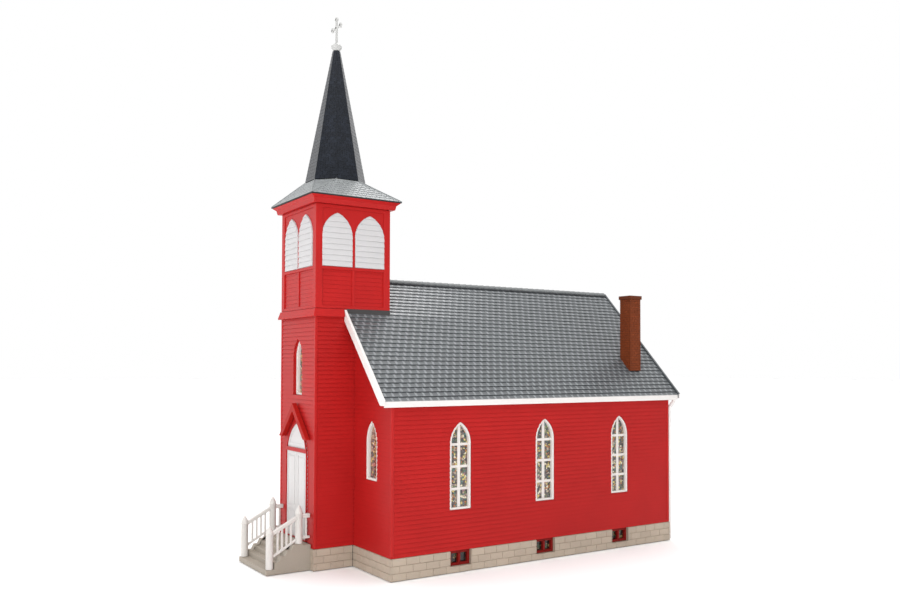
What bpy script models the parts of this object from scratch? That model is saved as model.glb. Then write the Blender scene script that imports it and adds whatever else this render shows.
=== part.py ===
# A plastic scale model of a small timber church, about 1:87: nave, front tower with
# belfry and spire, entrance stairs. Front faces -Y, the ground is z = 0, and the origin
# is under the middle of the model's box. Metres.

import math

import bmesh
import bpy
from mathutils import Matrix

MM = 0.001
GLUE_GAP = 0.1 * MM  # clearance between pieces that are glued together

# Nave
NAVE_WIDTH = 83.2 * MM
NAVE_LENGTH = 123.4 * MM
WALL = 1.8 * MM
PLINTH_HEIGHT = 7.0 * MM
PLINTH_THICKNESS = 3.2 * MM
FLOOR_THICKNESS = 1.2 * MM

# Roof
PEAK_Z = 98.9 * MM
EAVE_Z = 56.9 * MM  # top of the slates at the eave
EAVE_OVERHANG = 1.0 * MM
EAVE_LIP = 0.4 * MM  # thickness of the roof at its eave edge
ROOF_FRONT_OVERHANG = 2.8 * MM
ROOF_REAR_OVERHANG = 4.2 * MM
ROOF_DROP = 1.7 * MM  # vertical thickness of the roof panels
RIDGE_CAP_HALF = 1.7 * MM
RIDGE_CAP_RISE = 0.6 * MM
BARGE_THICKNESS = 1.0 * MM
BARGE_DROP = 3.9 * MM  # vertical width of a bargeboard
BARGE_PROUD = 0.2 * MM
BARGE_REACH = 0.3 * MM  # how far a bargeboard runs past the eave
BARGE_FOOT_Z = 55.1 * MM
BARGE_HEAD_Z = 86.5 * MM  # top of the front bargeboards, at the tower
FASCIA_THICKNESS = 0.8 * MM
FASCIA_FOOT_Z = 54.5 * MM
PIPE_RADIUS = 0.75 * MM
PIPE_INSET = 0.8 * MM  # from the corner of the rear wall to the pipe's centre
PIPE_CLEARANCE = 0.2 * MM  # from the rear wall to the pipe
PIPE_OUTLET = 0.6 * MM  # half the height of the outlet at the fascia's foot
PIPE_SETBACK = 2.6 * MM  # from the rear wall to the outlet's centre
PIPE_ELBOW_DROP = 3.2 * MM
PIPE_FOOT_Z = 0.4 * MM

# Tower
TOWER_WIDTH = 30.0 * MM
TOWER_DEPTH = 28.0 * MM
TOWER_PROJECTION = 14.3 * MM
TOWER_BACK_FOOT_Z = 70.0 * MM  # the tower's rear wall starts under the nave's roof
BAND_Z = 84.0 * MM
BAND_LIP_Z = 84.5 * MM
BELFRY_Z = 86.8 * MM
BAND_PROUD = 0.9 * MM
BAND_TOP_PROUD = 0.3 * MM
CORNICE_Z = 121.9 * MM
CORNICE_STEP_Z = 123.35 * MM
CORNICE_STEPS = (1.25 * MM, 1.55 * MM, 2.7 * MM)  # how far its foot, step and top stand out
SKIRT_Z = 124.4 * MM
SKIRT_OVERHANG = 3.0 * MM
SKIRT_LIP = 0.5 * MM
SPIRE_Z = 132.1 * MM
SPIRE_HALF = 9.9 * MM  # from the axis to a flat of the octagon
SPIRE_TOP_Z = 179.9 * MM
SPIRE_TOP_HALF = 1.3 * MM
COLLAR_RADIUS = 2.05 * MM
COLLAR_END_RADIUS = 1.2 * MM
COLLAR_HEIGHT = 2.9 * MM
CROSS_TOP_Z = 192.3 * MM
CROSS_BAR_Z = 188.5 * MM
CROSS_ARM = 4.1 * MM
CROSS_BAR = 0.7 * MM
CROSS_FLARE = 1.5 * MM
CROSS_TIP = 1.05 * MM  # length of a flared end

# Belfry openings
LOUVER_WIDTH = 11.2 * MM
LOUVER_OFFSET = 6.1 * MM
LOUVER_FOOT_Z = 101.0 * MM
LOUVER_SPRING_Z = 111.2 * MM
LOUVER_TOP_Z = 119.2 * MM

# Windows: width, foot, spring of the arch, top
SIDE_WINDOW = (8.4 * MM, 20.3 * MM, 42.1 * MM, 49.2 * MM)
FRONT_WINDOW = (7.8 * MM, 30.1 * MM, 42.5 * MM, 49.7 * MM)
TOWER_WINDOW = (7.6 * MM, 57.4 * MM, 70.5 * MM, 76.9 * MM)
WINDOW_SPACING = 35.6 * MM
FRONT_WINDOW_X = 27.8 * MM
FRAME_WIDTH = 0.8 * MM
FRAME_RECESS = 0.3 * MM
TOWER_FRAME_RECESS = 1.2 * MM
GLASS = 0.5 * MM
SHEET_MARGIN = 1.0 * MM  # how far a sheet behind a wall reaches past its openings
BASEMENT_WIDTH = 8.2 * MM
BASEMENT_FOOT_Z = 2.0 * MM

# Entrance
DOOR_WIDTH = 18.2 * MM
DOOR_SPRING_Z = 36.0 * MM
DOOR_TOP_Z = 48.3 * MM
TRANSOM_Z = (38.0 * MM, 39.3 * MM)
DOOR_FRAME_WIDTH = 0.45 * MM
DOOR_FRAME_PROUD = 0.3 * MM
DOOR_FRAME_DEPTH = 0.4 * MM
DOOR_THICKNESS = 1.0 * MM
DOOR_SILL = 0.3 * MM
HOOD_TOP_Z = 54.7 * MM
HOOD_FOOT_Z = 42.8 * MM
HOOD_DROP = 2.7 * MM  # vertical width of the hood's boards, which slope at 45 degrees
HOOD_DEPTH = 1.8 * MM

# Stairs
STAIR_WIDTH = 25.8 * MM
STAIR_DEPTH = 15.5 * MM
RISERS = 5
LANDING_Z = 8.4 * MM
LANDING_DEPTH = 6.2 * MM
FIRST_TREAD = 2.9 * MM
CHEEK_THICKNESS = 2.4 * MM
CHEEK_RISE = 0.55 * MM  # height of a cheek above each tread
CHEEK_SLANT = 0.8 * MM  # how far a cheek leans back at each riser
NEWEL_RADIUS = 1.2 * MM
NEWEL_SIDES = 8
NEWEL_TIP = 3.0 * MM  # height of a newel's pointed top
LOWER_NEWEL_TOP_Z = 15.8 * MM
UPPER_NEWEL_TOP_Z = 21.6 * MM
UPPER_NEWEL_DEPTH = 3.9 * MM  # from the tower wall to the newel's centre
RAIL_LOW_Z = 13.3 * MM
RAIL_HIGH_Z = 18.6 * MM
FOOT_RAIL_LOW_Z = 4.6 * MM
FOOT_RAIL_HIGH_Z = 10.4 * MM
RAIL_BAR = 0.8 * MM
RAIL_THICKNESS = 0.7 * MM
BALUSTER = 0.6 * MM
SLOPE_GAPS = 5
LEVEL_GAPS = 2

# Chimney
CHIMNEY_SIDE = 5.4 * MM
CHIMNEY_X = 30.9 * MM
CHIMNEY_FROM_FRONT = 113.3 * MM
CHIMNEY_CAP_Z = 94.0 * MM
CHIMNEY_TOP_Z = 95.4 * MM
CHIMNEY_CAP_PROUD = 0.5 * MM

ARCH_STEPS = 5
CUT_MARGIN = 10.0 * MM  # how far a cutter runs past what it cuts
SCREW_MERGE = 0.01 * MM

# Places that follow from the sizes above
BARGE_FRONT = ROOF_FRONT_OVERHANG + BARGE_THICKNESS
LENGTH = TOWER_PROJECTION + STAIR_DEPTH + NAVE_LENGTH + ROOF_REAR_OVERHANG + BARGE_THICKNESS
FRONT_Y = TOWER_PROJECTION + STAIR_DEPTH - LENGTH / 2  # outer face of the nave's front wall
REAR_Y = FRONT_Y + NAVE_LENGTH
TOWER_FRONT_Y = FRONT_Y - TOWER_PROJECTION
TOWER_BACK_Y = TOWER_FRONT_Y + TOWER_DEPTH
TOWER_Y = (TOWER_FRONT_Y + TOWER_BACK_Y) / 2
HALF = NAVE_WIDTH / 2
TOWER_HALF = TOWER_WIDTH / 2
EAVE_X = HALF + EAVE_OVERHANG
SLOPE = (PEAK_Z - EAVE_Z) / EAVE_X
WALL_FOOT_Z = PLINTH_HEIGHT + GLUE_GAP
WALL_TOP_Z = EAVE_Z - EAVE_LIP - GLUE_GAP
SIDE_WINDOW_YS = [FRONT_Y + NAVE_LENGTH / 2 + k * WINDOW_SPACING for k in (-1, 0, 1)]
STAIR_FRONT_Y = TOWER_FRONT_Y - STAIR_DEPTH

RED = ((0.50, 0.035, 0.03), 0.45)
WHITE = ((0.86, 0.84, 0.80), 0.4)
STONE = ((0.40, 0.34, 0.27), 0.7)
SLATE = ((0.20, 0.21, 0.23), 0.6)
DARK_SLATE = ((0.03, 0.035, 0.045), 0.35)
BRICK = ((0.25, 0.09, 0.05), 0.6)
FLOOR_GREY = ((0.30, 0.29, 0.27), 0.6)


def clear_scene():
    for thing in list(bpy.data.objects):
        bpy.data.objects.remove(thing, do_unlink=True)


def make_collection(name, hidden=False):
    collection = bpy.data.collections.new(name)
    collection.hide_render = hidden
    bpy.context.scene.collection.children.link(collection)
    return collection


def material(name, finish):
    colour, roughness = finish
    result = bpy.data.materials.new(name)
    result.use_nodes = True
    shader = result.node_tree.nodes["Principled BSDF"]
    shader.inputs["Base Color"].default_value = (*colour, 1.0)
    shader.inputs["Roughness"].default_value = roughness
    shader.inputs["Metallic"].default_value = 0.0
    return result


def mesh_object(name, mesh, finish, collection):
    thing = bpy.data.objects.new(name, mesh)
    collection.objects.link(thing)
    if finish:
        mesh.materials.clear()
        mesh.materials.append(material(name, finish))
    return thing


def box(name, low, high, finish=None, collection=None):
    shape = bmesh.new()
    bmesh.ops.create_cube(shape, size=1.0)
    size = [b - a for a, b in zip(low, high)]
    middle = [(a + b) / 2 for a, b in zip(low, high)]
    bmesh.ops.scale(shape, vec=size, verts=shape.verts)
    bmesh.ops.translate(shape, vec=middle, verts=shape.verts)
    mesh = bpy.data.meshes.new(name)
    shape.to_mesh(mesh)
    shape.free()
    return mesh_object(name, mesh, finish, collection or church)


# How a flat outline is turned: its two axes and the way it is made thick
PLANES = {
    "front": Matrix(((1, 0, 0), (0, 0, -1), (0, 1, 0))).to_4x4(),  # outline in x and z
    "side": Matrix(((0, 0, 1), (1, 0, 0), (0, 1, 0))).to_4x4(),  # outline in y and z
    "plan": Matrix.Identity(4),  # outline in x and y
}
DEPTH_AXIS = {"front": 1, "side": 0, "plan": 2}


def plate(name, plane, outline, span, finish=None, holes=(), collection=None):
    """A flat outline with holes, made thick from span[0] to span[1] across its plane."""
    curve = bpy.data.curves.new(name, "CURVE")
    curve.dimensions = "2D"
    curve.fill_mode = "BOTH"
    curve.extrude = abs(span[1] - span[0]) / 2
    for ring in (outline, *holes):
        spline = curve.splines.new("POLY")
        spline.points.add(len(ring) - 1)
        for point, (u, v) in zip(spline.points, ring):
            point.co = (u, v, 0, 1)
        spline.use_cyclic_u = True
    guide = bpy.data.objects.new(name + "_outline", curve)
    cutters.objects.link(guide)
    place = [0, 0, 0]
    place[DEPTH_AXIS[plane]] = (span[0] + span[1]) / 2
    guide.matrix_world = Matrix.Translation(place) @ PLANES[plane]
    return baked(name, guide, finish, collection)


def baked(name, guide, finish, collection):
    """The guide's evaluated shape as a welded mesh object at the origin; the guide goes."""
    bpy.context.view_layer.update()
    graph = bpy.context.evaluated_depsgraph_get()
    mesh = bpy.data.meshes.new_from_object(guide.evaluated_get(graph))
    mesh.transform(guide.matrix_world)
    shape = bmesh.new()
    shape.from_mesh(mesh)
    bmesh.ops.remove_doubles(shape, verts=shape.verts, dist=1e-7)
    bmesh.ops.recalc_face_normals(shape, faces=shape.faces)
    shape.to_mesh(mesh)
    shape.free()
    bpy.data.objects.remove(guide, do_unlink=True)
    mesh.name = name
    return mesh_object(name, mesh, finish, collection or church)


def turned(name, profile, sides, place, finish=None, turn=0.0, stretch=1.0):
    """A solid with so many sides about the vertical through place, stretched along X.

    The profile is radii and heights from its top on the axis down to its foot on the axis.
    """
    shape = bmesh.new()
    cos, sin = math.cos(turn), math.sin(turn)
    points = [shape.verts.new((radius * cos, radius * sin, z)) for radius, z in profile]
    for upper, lower in zip(points, points[1:]):
        shape.edges.new((upper, lower))
    mesh = bpy.data.meshes.new(name)
    shape.to_mesh(mesh)
    shape.free()
    thing = mesh_object(name, mesh, finish, church)
    thing.location = (*place, 0)
    thing.scale.x = stretch
    step = thing.modifiers.new("turn", "SCREW")
    step.steps = sides
    step.render_steps = sides
    step.use_merge_vertices = True
    step.merge_threshold = SCREW_MERGE
    step.use_smooth_shade = False
    return thing


def tower_ring(name, profile, finish=None):
    """A solid of the tower's plan about its axis, from half depths and heights, top first."""
    corners = [(half * math.sqrt(2), z) for half, z in profile]
    stretch = TOWER_WIDTH / TOWER_DEPTH
    return turned(name, corners, 4, (0, TOWER_Y), finish, math.pi / 4, stretch)


def combine(thing, others, operation):
    for other in others:
        for home in list(other.users_collection):
            home.objects.unlink(other)
        cutters.objects.link(other)
        other.hide_render = True
        other.display_type = "WIRE"
        step = thing.modifiers.new(f"{operation.lower()} {other.name}", "BOOLEAN")
        step.operation = operation
        step.object = other
        step.solver = "EXACT"
    return thing


def arch_side(half, spring, top, start=0.0):
    """Points of a pointed arch's right side, one arc, from start above its springing to the tip."""
    rise = top - spring
    inset = (rise**2 - half**2) / (2 * half)
    radius = half + inset
    first, last = (math.asin(min(1.0, height / radius)) for height in (start, rise))
    angles = [first + (last - first) * k / ARCH_STEPS for k in range(ARCH_STEPS + 1)]
    return [(radius * math.cos(a) - inset, spring + radius * math.sin(a)) for a in angles]


def lancet(centre, width, foot, spring, top, shrink=0.0):
    """A pointed opening's outline, made smaller all round by shrink."""
    half = width / 2 - shrink
    right = arch_side(half, spring, top - shrink)
    left = [(-u, v) for u, v in reversed(right[:-1])]
    ring = [(half, foot + shrink), *right, *left, (-half, foot + shrink)]
    return [(centre + u, v) for u, v in ring]


def rectangle(low, high):
    return [(low[0], low[1]), (high[0], low[1]), (high[0], high[1]), (low[0], high[1])]


def roof_z(x):
    return PEAK_Z - SLOPE * abs(x)


def ceiling_z(x):
    """Underside of the roof, less the gap, over a wall."""
    return roof_z(x) - ROOF_DROP - GLUE_GAP


def mirrored(outline):
    return [(-u, v) for u, v in reversed(outline)]


def sided(side, low, high):
    """A span on the right side, or its mirror image on the left."""
    return (low, high) if side > 0 else (-high, -low)


SIDES = (("right", 1), ("left", -1))


def make_foundation():
    outer, inner = HALF, TOWER_HALF
    t = PLINTH_THICKNESS
    front = [
        (-outer, FRONT_Y),
        (-inner, FRONT_Y),
        (-inner, TOWER_FRONT_Y),
        (inner, TOWER_FRONT_Y),
        (inner, FRONT_Y),
        (outer, FRONT_Y),
        (outer, FRONT_Y + t),
        (inner - t, FRONT_Y + t),
        (inner - t, TOWER_FRONT_Y + t),
        (t - inner, TOWER_FRONT_Y + t),
        (t - inner, FRONT_Y + t),
        (-outer, FRONT_Y + t),
    ]
    plate("foundation_front", "plan", front, (0, PLINTH_HEIGHT), STONE)
    box("foundation_rear", (-outer, REAR_Y - t, 0), (outer, REAR_Y, PLINTH_HEIGHT), STONE)
    start = FRONT_Y + t + GLUE_GAP
    end = REAR_Y - t - GLUE_GAP
    outline = [(start, 0), (end, 0), (end, PLINTH_HEIGHT)]
    for y in reversed(SIDE_WINDOW_YS):
        right, left = y + BASEMENT_WIDTH / 2, y - BASEMENT_WIDTH / 2
        outline += [(right, PLINTH_HEIGHT), (right, BASEMENT_FOOT_Z)]
        outline += [(left, BASEMENT_FOOT_Z), (left, PLINTH_HEIGHT)]
    outline.append((start, PLINTH_HEIGHT))
    for name, side in SIDES:
        plate("foundation_" + name, "side", outline, sided(side, outer - t, outer), STONE)


def make_basement_windows():
    back = HALF - PLINTH_THICKNESS - GLUE_GAP
    reach = BASEMENT_WIDTH / 2 + SHEET_MARGIN
    low = BASEMENT_FOOT_Z - SHEET_MARGIN
    high = PLINTH_HEIGHT - GLUE_GAP
    for name, side in SIDES:
        ends = (SIDE_WINDOW_YS[0] - reach, SIDE_WINDOW_YS[-1] + reach)
        sheet_outline = rectangle((ends[0], low), (ends[1], high))
        sheet_name = "basement_windows_" + name
        sheet = plate(sheet_name, "side", sheet_outline, sided(side, back - GLASS, back), RED)
        frames = []
        for n, y in enumerate(SIDE_WINDOW_YS):
            half = BASEMENT_WIDTH / 2 - GLUE_GAP
            foot = BASEMENT_FOOT_Z + GLUE_GAP
            outer = rectangle((y - half, foot), (y + half, high))
            inner = rectangle(
                (y - half + FRAME_WIDTH, foot + FRAME_WIDTH),
                (y + half - FRAME_WIDTH, high - FRAME_WIDTH),
            )
            span = sided(side, back - GLASS / 2, HALF - FRAME_RECESS)
            frames.append(plate(f"basement_frame_{name}_{n}", "side", outer, span, holes=[inner]))
        combine(sheet, frames, "UNION")


def make_floor():
    """One plate that fills the nave and runs on into the tower, over the plinth's inner ledge."""
    low = PLINTH_HEIGHT + GLUE_GAP
    x = HALF - WALL - GLUE_GAP
    neck = TOWER_HALF - WALL - GLUE_GAP
    front = FRONT_Y + WALL + GLUE_GAP
    outline = [
        (-neck, TOWER_FRONT_Y + WALL + GLUE_GAP),
        (neck, TOWER_FRONT_Y + WALL + GLUE_GAP),
        (neck, front),
        (x, front),
        (x, REAR_Y - WALL - GLUE_GAP),
        (-x, REAR_Y - WALL - GLUE_GAP),
        (-x, front),
        (-neck, front),
    ]
    plate("floor", "plan", outline, (low, low + FLOOR_THICKNESS), FLOOR_GREY)


def make_nave_walls():
    start = FRONT_Y + WALL + GLUE_GAP
    end = REAR_Y - WALL - GLUE_GAP
    side_outline = rectangle((start, WALL_FOOT_Z), (end, WALL_TOP_Z))
    holes = [lancet(y, *SIDE_WINDOW) for y in SIDE_WINDOW_YS]
    for name, side in SIDES:
        span = sided(side, HALF - WALL, HALF)
        plate("nave_wall_" + name, "side", side_outline, span, RED, holes)
    inner = TOWER_HALF + GLUE_GAP
    # Past this distance from the axis the roof's underside is level, at its eave lip.
    lip_x = (PEAK_Z - ROOF_DROP - EAVE_Z + EAVE_LIP) / SLOPE
    outline = [
        (inner, WALL_FOOT_Z),
        (HALF, WALL_FOOT_Z),
        (HALF, WALL_TOP_Z),
        (lip_x, WALL_TOP_Z),
        (inner, ceiling_z(inner)),
    ]
    hole = lancet(FRONT_WINDOW_X, *FRONT_WINDOW)
    span = (FRONT_Y, FRONT_Y + WALL)
    plate("nave_wall_front_right", "front", outline, span, RED, [hole])
    plate("nave_wall_front_left", "front", mirrored(outline), span, RED, [mirrored(hole)])
    gable = [(HALF, WALL_FOOT_Z), (HALF, WALL_TOP_Z), (lip_x, WALL_TOP_Z), (0, ceiling_z(0))]
    gable += mirrored(gable[:-1])
    plate("nave_wall_rear", "front", gable, (REAR_Y - WALL, REAR_Y), RED, [hole, mirrored(hole)])


def glazed(name, plane, centres, window, faces, recess=FRAME_RECESS):
    """Window frames joined by the sheet of glass behind the wall.

    faces is the wall's outer face and its inner face across its plane.
    """
    width, foot, spring, top = window
    outer_face, inner_face = faces
    inward = 1 if inner_face > outer_face else -1
    reach = width / 2 + SHEET_MARGIN
    front_of_sheet = inner_face + inward * GLUE_GAP
    back_of_sheet = front_of_sheet + inward * GLASS
    sheet_outline = rectangle(
        (centres[0] - reach, foot - SHEET_MARGIN), (centres[-1] + reach, top + SHEET_MARGIN)
    )
    sheet = plate(name, plane, sheet_outline, sorted((front_of_sheet, back_of_sheet)), WHITE)
    frames = []
    for n, centre in enumerate(centres):
        outer = lancet(centre, width, foot, spring, top, GLUE_GAP)
        inner = lancet(centre, width, foot, spring, top, GLUE_GAP + FRAME_WIDTH)
        span = sorted((outer_face + inward * recess, front_of_sheet + inward * GLASS / 2))
        frames.append(plate(f"{name}_frame_{n}", plane, outer, span, holes=[inner]))
    return combine(sheet, frames, "UNION")


def make_windows():
    glazed("nave_windows_right", "side", SIDE_WINDOW_YS, SIDE_WINDOW, (HALF, HALF - WALL))
    glazed("nave_windows_left", "side", SIDE_WINDOW_YS, SIDE_WINDOW, (-HALF, WALL - HALF))
    front = (FRONT_Y, FRONT_Y + WALL)
    glazed("nave_window_front_right", "front", [FRONT_WINDOW_X], FRONT_WINDOW, front)
    glazed("nave_window_front_left", "front", [-FRONT_WINDOW_X], FRONT_WINDOW, front)
    rear = (REAR_Y, REAR_Y - WALL)
    pair = [-FRONT_WINDOW_X, FRONT_WINDOW_X]
    glazed("nave_windows_rear", "front", pair, FRONT_WINDOW, rear)
    tower = (TOWER_FRONT_Y, TOWER_FRONT_Y + WALL)
    glazed("tower_window", "front", [0.0], TOWER_WINDOW, tower, TOWER_FRAME_RECESS)


def door_opening(shrink=0.0, foot=WALL_FOOT_Z):
    ring = lancet(0.0, DOOR_WIDTH, foot, DOOR_SPRING_Z, DOOR_TOP_Z, shrink)
    return [(u, max(v, foot)) for u, v in ring]


def make_tower_walls():
    top = BELFRY_Z - GLUE_GAP
    opening = door_opening()
    outline = [(-TOWER_HALF, WALL_FOOT_Z), *reversed(opening), (TOWER_HALF, WALL_FOOT_Z)]
    outline += [(TOWER_HALF, top), (-TOWER_HALF, top)]
    span = (TOWER_FRONT_Y, TOWER_FRONT_Y + WALL)
    plate("tower_wall_front", "front", outline, span, RED, [lancet(0.0, *TOWER_WINDOW)])
    start = TOWER_FRONT_Y + WALL + GLUE_GAP
    end = TOWER_BACK_Y - WALL - GLUE_GAP
    step_y = FRONT_Y + WALL
    step_z = WALL_FOOT_Z + FLOOR_THICKNESS + GLUE_GAP
    side_outline = [
        (start, WALL_FOOT_Z),
        (step_y, WALL_FOOT_Z),
        (step_y, step_z),
        (end, step_z),
        (end, top),
        (start, top),
    ]
    for name, side in SIDES:
        span = sided(side, TOWER_HALF - WALL, TOWER_HALF)
        plate("tower_wall_" + name, "side", side_outline, span, RED)
    box(
        "tower_wall_back",
        (-TOWER_HALF, TOWER_BACK_Y - WALL, TOWER_BACK_FOOT_Z),
        (TOWER_HALF, TOWER_BACK_Y, top),
        RED,
    )


def make_band():
    """A sloped water table round the tower, which ends at the bargeboards."""
    top = BELFRY_Z - GLUE_GAP
    half = TOWER_DEPTH / 2
    profile = [
        (0, top),
        (half + BAND_TOP_PROUD, top),
        (half + BAND_PROUD, BAND_LIP_Z),
        (half + BAND_PROUD, BAND_Z),
        (0, BAND_Z),
    ]
    band = tower_ring("tower_band", profile, RED)
    inner = TOWER_HALF + GLUE_GAP
    low_z, high_z = BAND_Z - CUT_MARGIN, BELFRY_Z + CUT_MARGIN
    core_low = (-inner, TOWER_FRONT_Y - GLUE_GAP, low_z)
    core = box("band_core", core_low, (inner, TOWER_BACK_Y + CUT_MARGIN, high_z))
    reach = TOWER_HALF + CUT_MARGIN
    behind_low = (-reach, FRONT_Y - BARGE_FRONT - GLUE_GAP, low_z)
    behind = box("behind_bargeboards", behind_low, (reach, TOWER_BACK_Y + CUT_MARGIN, high_z))
    combine(band, [core, behind], "DIFFERENCE")


def belfry_holes(middle):
    sizes = (LOUVER_WIDTH, LOUVER_FOOT_Z, LOUVER_SPRING_Z, LOUVER_TOP_Z)
    return [lancet(middle + s * LOUVER_OFFSET, *sizes) for s in (-1, 1)]


def louver_pair(name, plane, middle, faces):
    """Two louvre fields joined by the board behind the wall that carries them."""
    outer_face, inner_face = faces
    inward = 1 if inner_face > outer_face else -1
    board_front = inner_face + inward * GLUE_GAP
    board_back = board_front + inward * GLASS
    half = LOUVER_OFFSET + LOUVER_WIDTH / 2 - 2 * GLUE_GAP
    outline = rectangle(
        (middle - half, LOUVER_FOOT_Z - SHEET_MARGIN), (middle + half, LOUVER_TOP_Z + SHEET_MARGIN)
    )
    board = plate(name, plane, outline, sorted((board_front, board_back)), WHITE)
    span = sorted((outer_face + inward * FRAME_RECESS, board_front + inward * GLASS / 2))
    sizes = (LOUVER_WIDTH, LOUVER_FOOT_Z, LOUVER_SPRING_Z, LOUVER_TOP_Z, GLUE_GAP)
    fields = []
    for n, s in enumerate((-1, 1)):
        ring = lancet(middle + s * LOUVER_OFFSET, *sizes)
        fields.append(plate(f"{name}_field_{n}", plane, ring, span))
    return combine(board, fields, "UNION")


def make_belfry():
    top = CORNICE_Z - GLUE_GAP
    outline = rectangle((-TOWER_HALF, BELFRY_Z), (TOWER_HALF, top))
    front = (TOWER_FRONT_Y, TOWER_FRONT_Y + WALL)
    back = (TOWER_BACK_Y - WALL, TOWER_BACK_Y)
    plate("belfry_wall_front", "front", outline, front, RED, belfry_holes(0.0))
    plate("belfry_wall_back", "front", outline, back, RED, belfry_holes(0.0))
    start = TOWER_FRONT_Y + WALL + GLUE_GAP
    end = TOWER_BACK_Y - WALL - GLUE_GAP
    side_outline = rectangle((start, BELFRY_Z), (end, top))
    for name, side in SIDES:
        span = sided(side, TOWER_HALF - WALL, TOWER_HALF)
        plate("belfry_wall_" + name, "side", side_outline, span, RED, belfry_holes(TOWER_Y))
        faces = (side * TOWER_HALF, side * (TOWER_HALF - WALL))
        louver_pair("louvers_" + name, "side", TOWER_Y, faces)
    louver_pair("louvers_front", "front", 0.0, front)
    louver_pair("louvers_back", "front", 0.0, back[::-1])


def make_cornice():
    foot, step, top = (TOWER_DEPTH / 2 + proud for proud in CORNICE_STEPS)
    high = SKIRT_Z - GLUE_GAP
    profile = [(0, high), (top, high), (step, CORNICE_STEP_Z), (foot, CORNICE_Z), (0, CORNICE_Z)]
    tower_ring("belfry_cornice", profile, RED)


def make_skirt():
    """The hull of the four-sided eave's lip and the octagon that carries the spire."""
    reach = (TOWER_HALF + SKIRT_OVERHANG, TOWER_DEPTH / 2 + SKIRT_OVERHANG)
    corner = SPIRE_HALF / math.cos(math.pi / 8)
    shape = bmesh.new()
    for z in (SKIRT_Z, SKIRT_Z + SKIRT_LIP):
        for x, y in rectangle((-reach[0], -reach[1]), reach):
            shape.verts.new((x, TOWER_Y + y, z))
    for k in range(8):
        angle = math.pi / 8 + math.pi / 4 * k
        shape.verts.new((corner * math.cos(angle), TOWER_Y + corner * math.sin(angle), SPIRE_Z))
    bmesh.ops.convex_hull(shape, input=shape.verts)
    bmesh.ops.recalc_face_normals(shape, faces=shape.faces)
    mesh = bpy.data.meshes.new("skirt_roof")
    shape.to_mesh(mesh)
    shape.free()
    mesh_object("skirt_roof", mesh, SLATE, church)


def make_spire():
    corner = 1 / math.cos(math.pi / 8)
    foot = SPIRE_Z + GLUE_GAP
    profile = [
        (0, SPIRE_TOP_Z),
        (SPIRE_TOP_HALF * corner, SPIRE_TOP_Z),
        (SPIRE_HALF * corner, foot),
        (0, foot),
    ]
    turned("spire", profile, 8, (0, TOWER_Y), DARK_SLATE, math.pi / 8)


def cross_outline():
    """Right half of a cross with flared ends, from the foot up, then its mirror image."""
    half = CROSS_BAR / 2
    flare = CROSS_FLARE / 2
    foot = SPIRE_TOP_Z + COLLAR_HEIGHT / 2
    right = [
        (half, foot),
        (half, CROSS_BAR_Z - half),
        (CROSS_ARM - CROSS_TIP, CROSS_BAR_Z - half),
        (CROSS_ARM, CROSS_BAR_Z - flare),
        (CROSS_ARM, CROSS_BAR_Z + flare),
        (CROSS_ARM - CROSS_TIP, CROSS_BAR_Z + half),
        (half, CROSS_BAR_Z + half),
        (half, CROSS_TOP_Z - CROSS_TIP),
        (flare, CROSS_TOP_Z),
    ]
    return right + mirrored(right)


def make_finial():
    """A faceted collar, and the cross that stands on it."""
    foot = SPIRE_TOP_Z + GLUE_GAP
    profile = [
        (0, foot + COLLAR_HEIGHT),
        (COLLAR_END_RADIUS, foot + COLLAR_HEIGHT),
        (COLLAR_RADIUS, foot + COLLAR_HEIGHT * 2 / 3),
        (COLLAR_RADIUS, foot + COLLAR_HEIGHT / 3),
        (COLLAR_END_RADIUS, foot),
        (0, foot),
    ]
    collar = turned("finial", profile, 8, (0, TOWER_Y), WHITE, math.pi / 8)
    span = (TOWER_Y - CROSS_BAR / 2, TOWER_Y + CROSS_BAR / 2)
    cross = plate("finial_cross", "front", cross_outline(), span)
    combine(collar, [cross], "UNION")


def make_entrance():
    face = TOWER_FRONT_Y
    foot = LANDING_Z + GLUE_GAP
    outer = door_opening(GLUE_GAP, foot)
    edge = GLUE_GAP + DOOR_FRAME_WIDTH
    half = DOOR_WIDTH / 2 - edge
    door_hole = rectangle((-half, foot + DOOR_SILL), (half, TRANSOM_Z[0]))
    arch = arch_side(half, DOOR_SPRING_Z, DOOR_TOP_Z - edge, TRANSOM_Z[1] - DOOR_SPRING_Z)
    tympanum_hole = arch + mirrored(arch[:-1])
    back = face - DOOR_FRAME_PROUD + DOOR_FRAME_DEPTH
    span = (face - DOOR_FRAME_PROUD, back)
    plate("door_frame", "front", outer, span, RED, [door_hole, tympanum_hole])
    panel = door_opening(2 * GLUE_GAP, foot)
    span = (back + GLUE_GAP, back + GLUE_GAP + DOOR_THICKNESS)
    plate("entrance_doors", "front", panel, span, WHITE)
    hood_inside = HOOD_TOP_Z - HOOD_DROP
    right = [
        (0, hood_inside),
        (hood_inside - HOOD_FOOT_Z, HOOD_FOOT_Z),
        (HOOD_TOP_Z - HOOD_FOOT_Z, HOOD_FOOT_Z),
        (0, HOOD_TOP_Z),
    ]
    outline = right + mirrored(right[1:-1])
    span = (face - HOOD_DEPTH, face - GLUE_GAP)
    plate("entrance_hood", "front", outline, span, RED)


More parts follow.
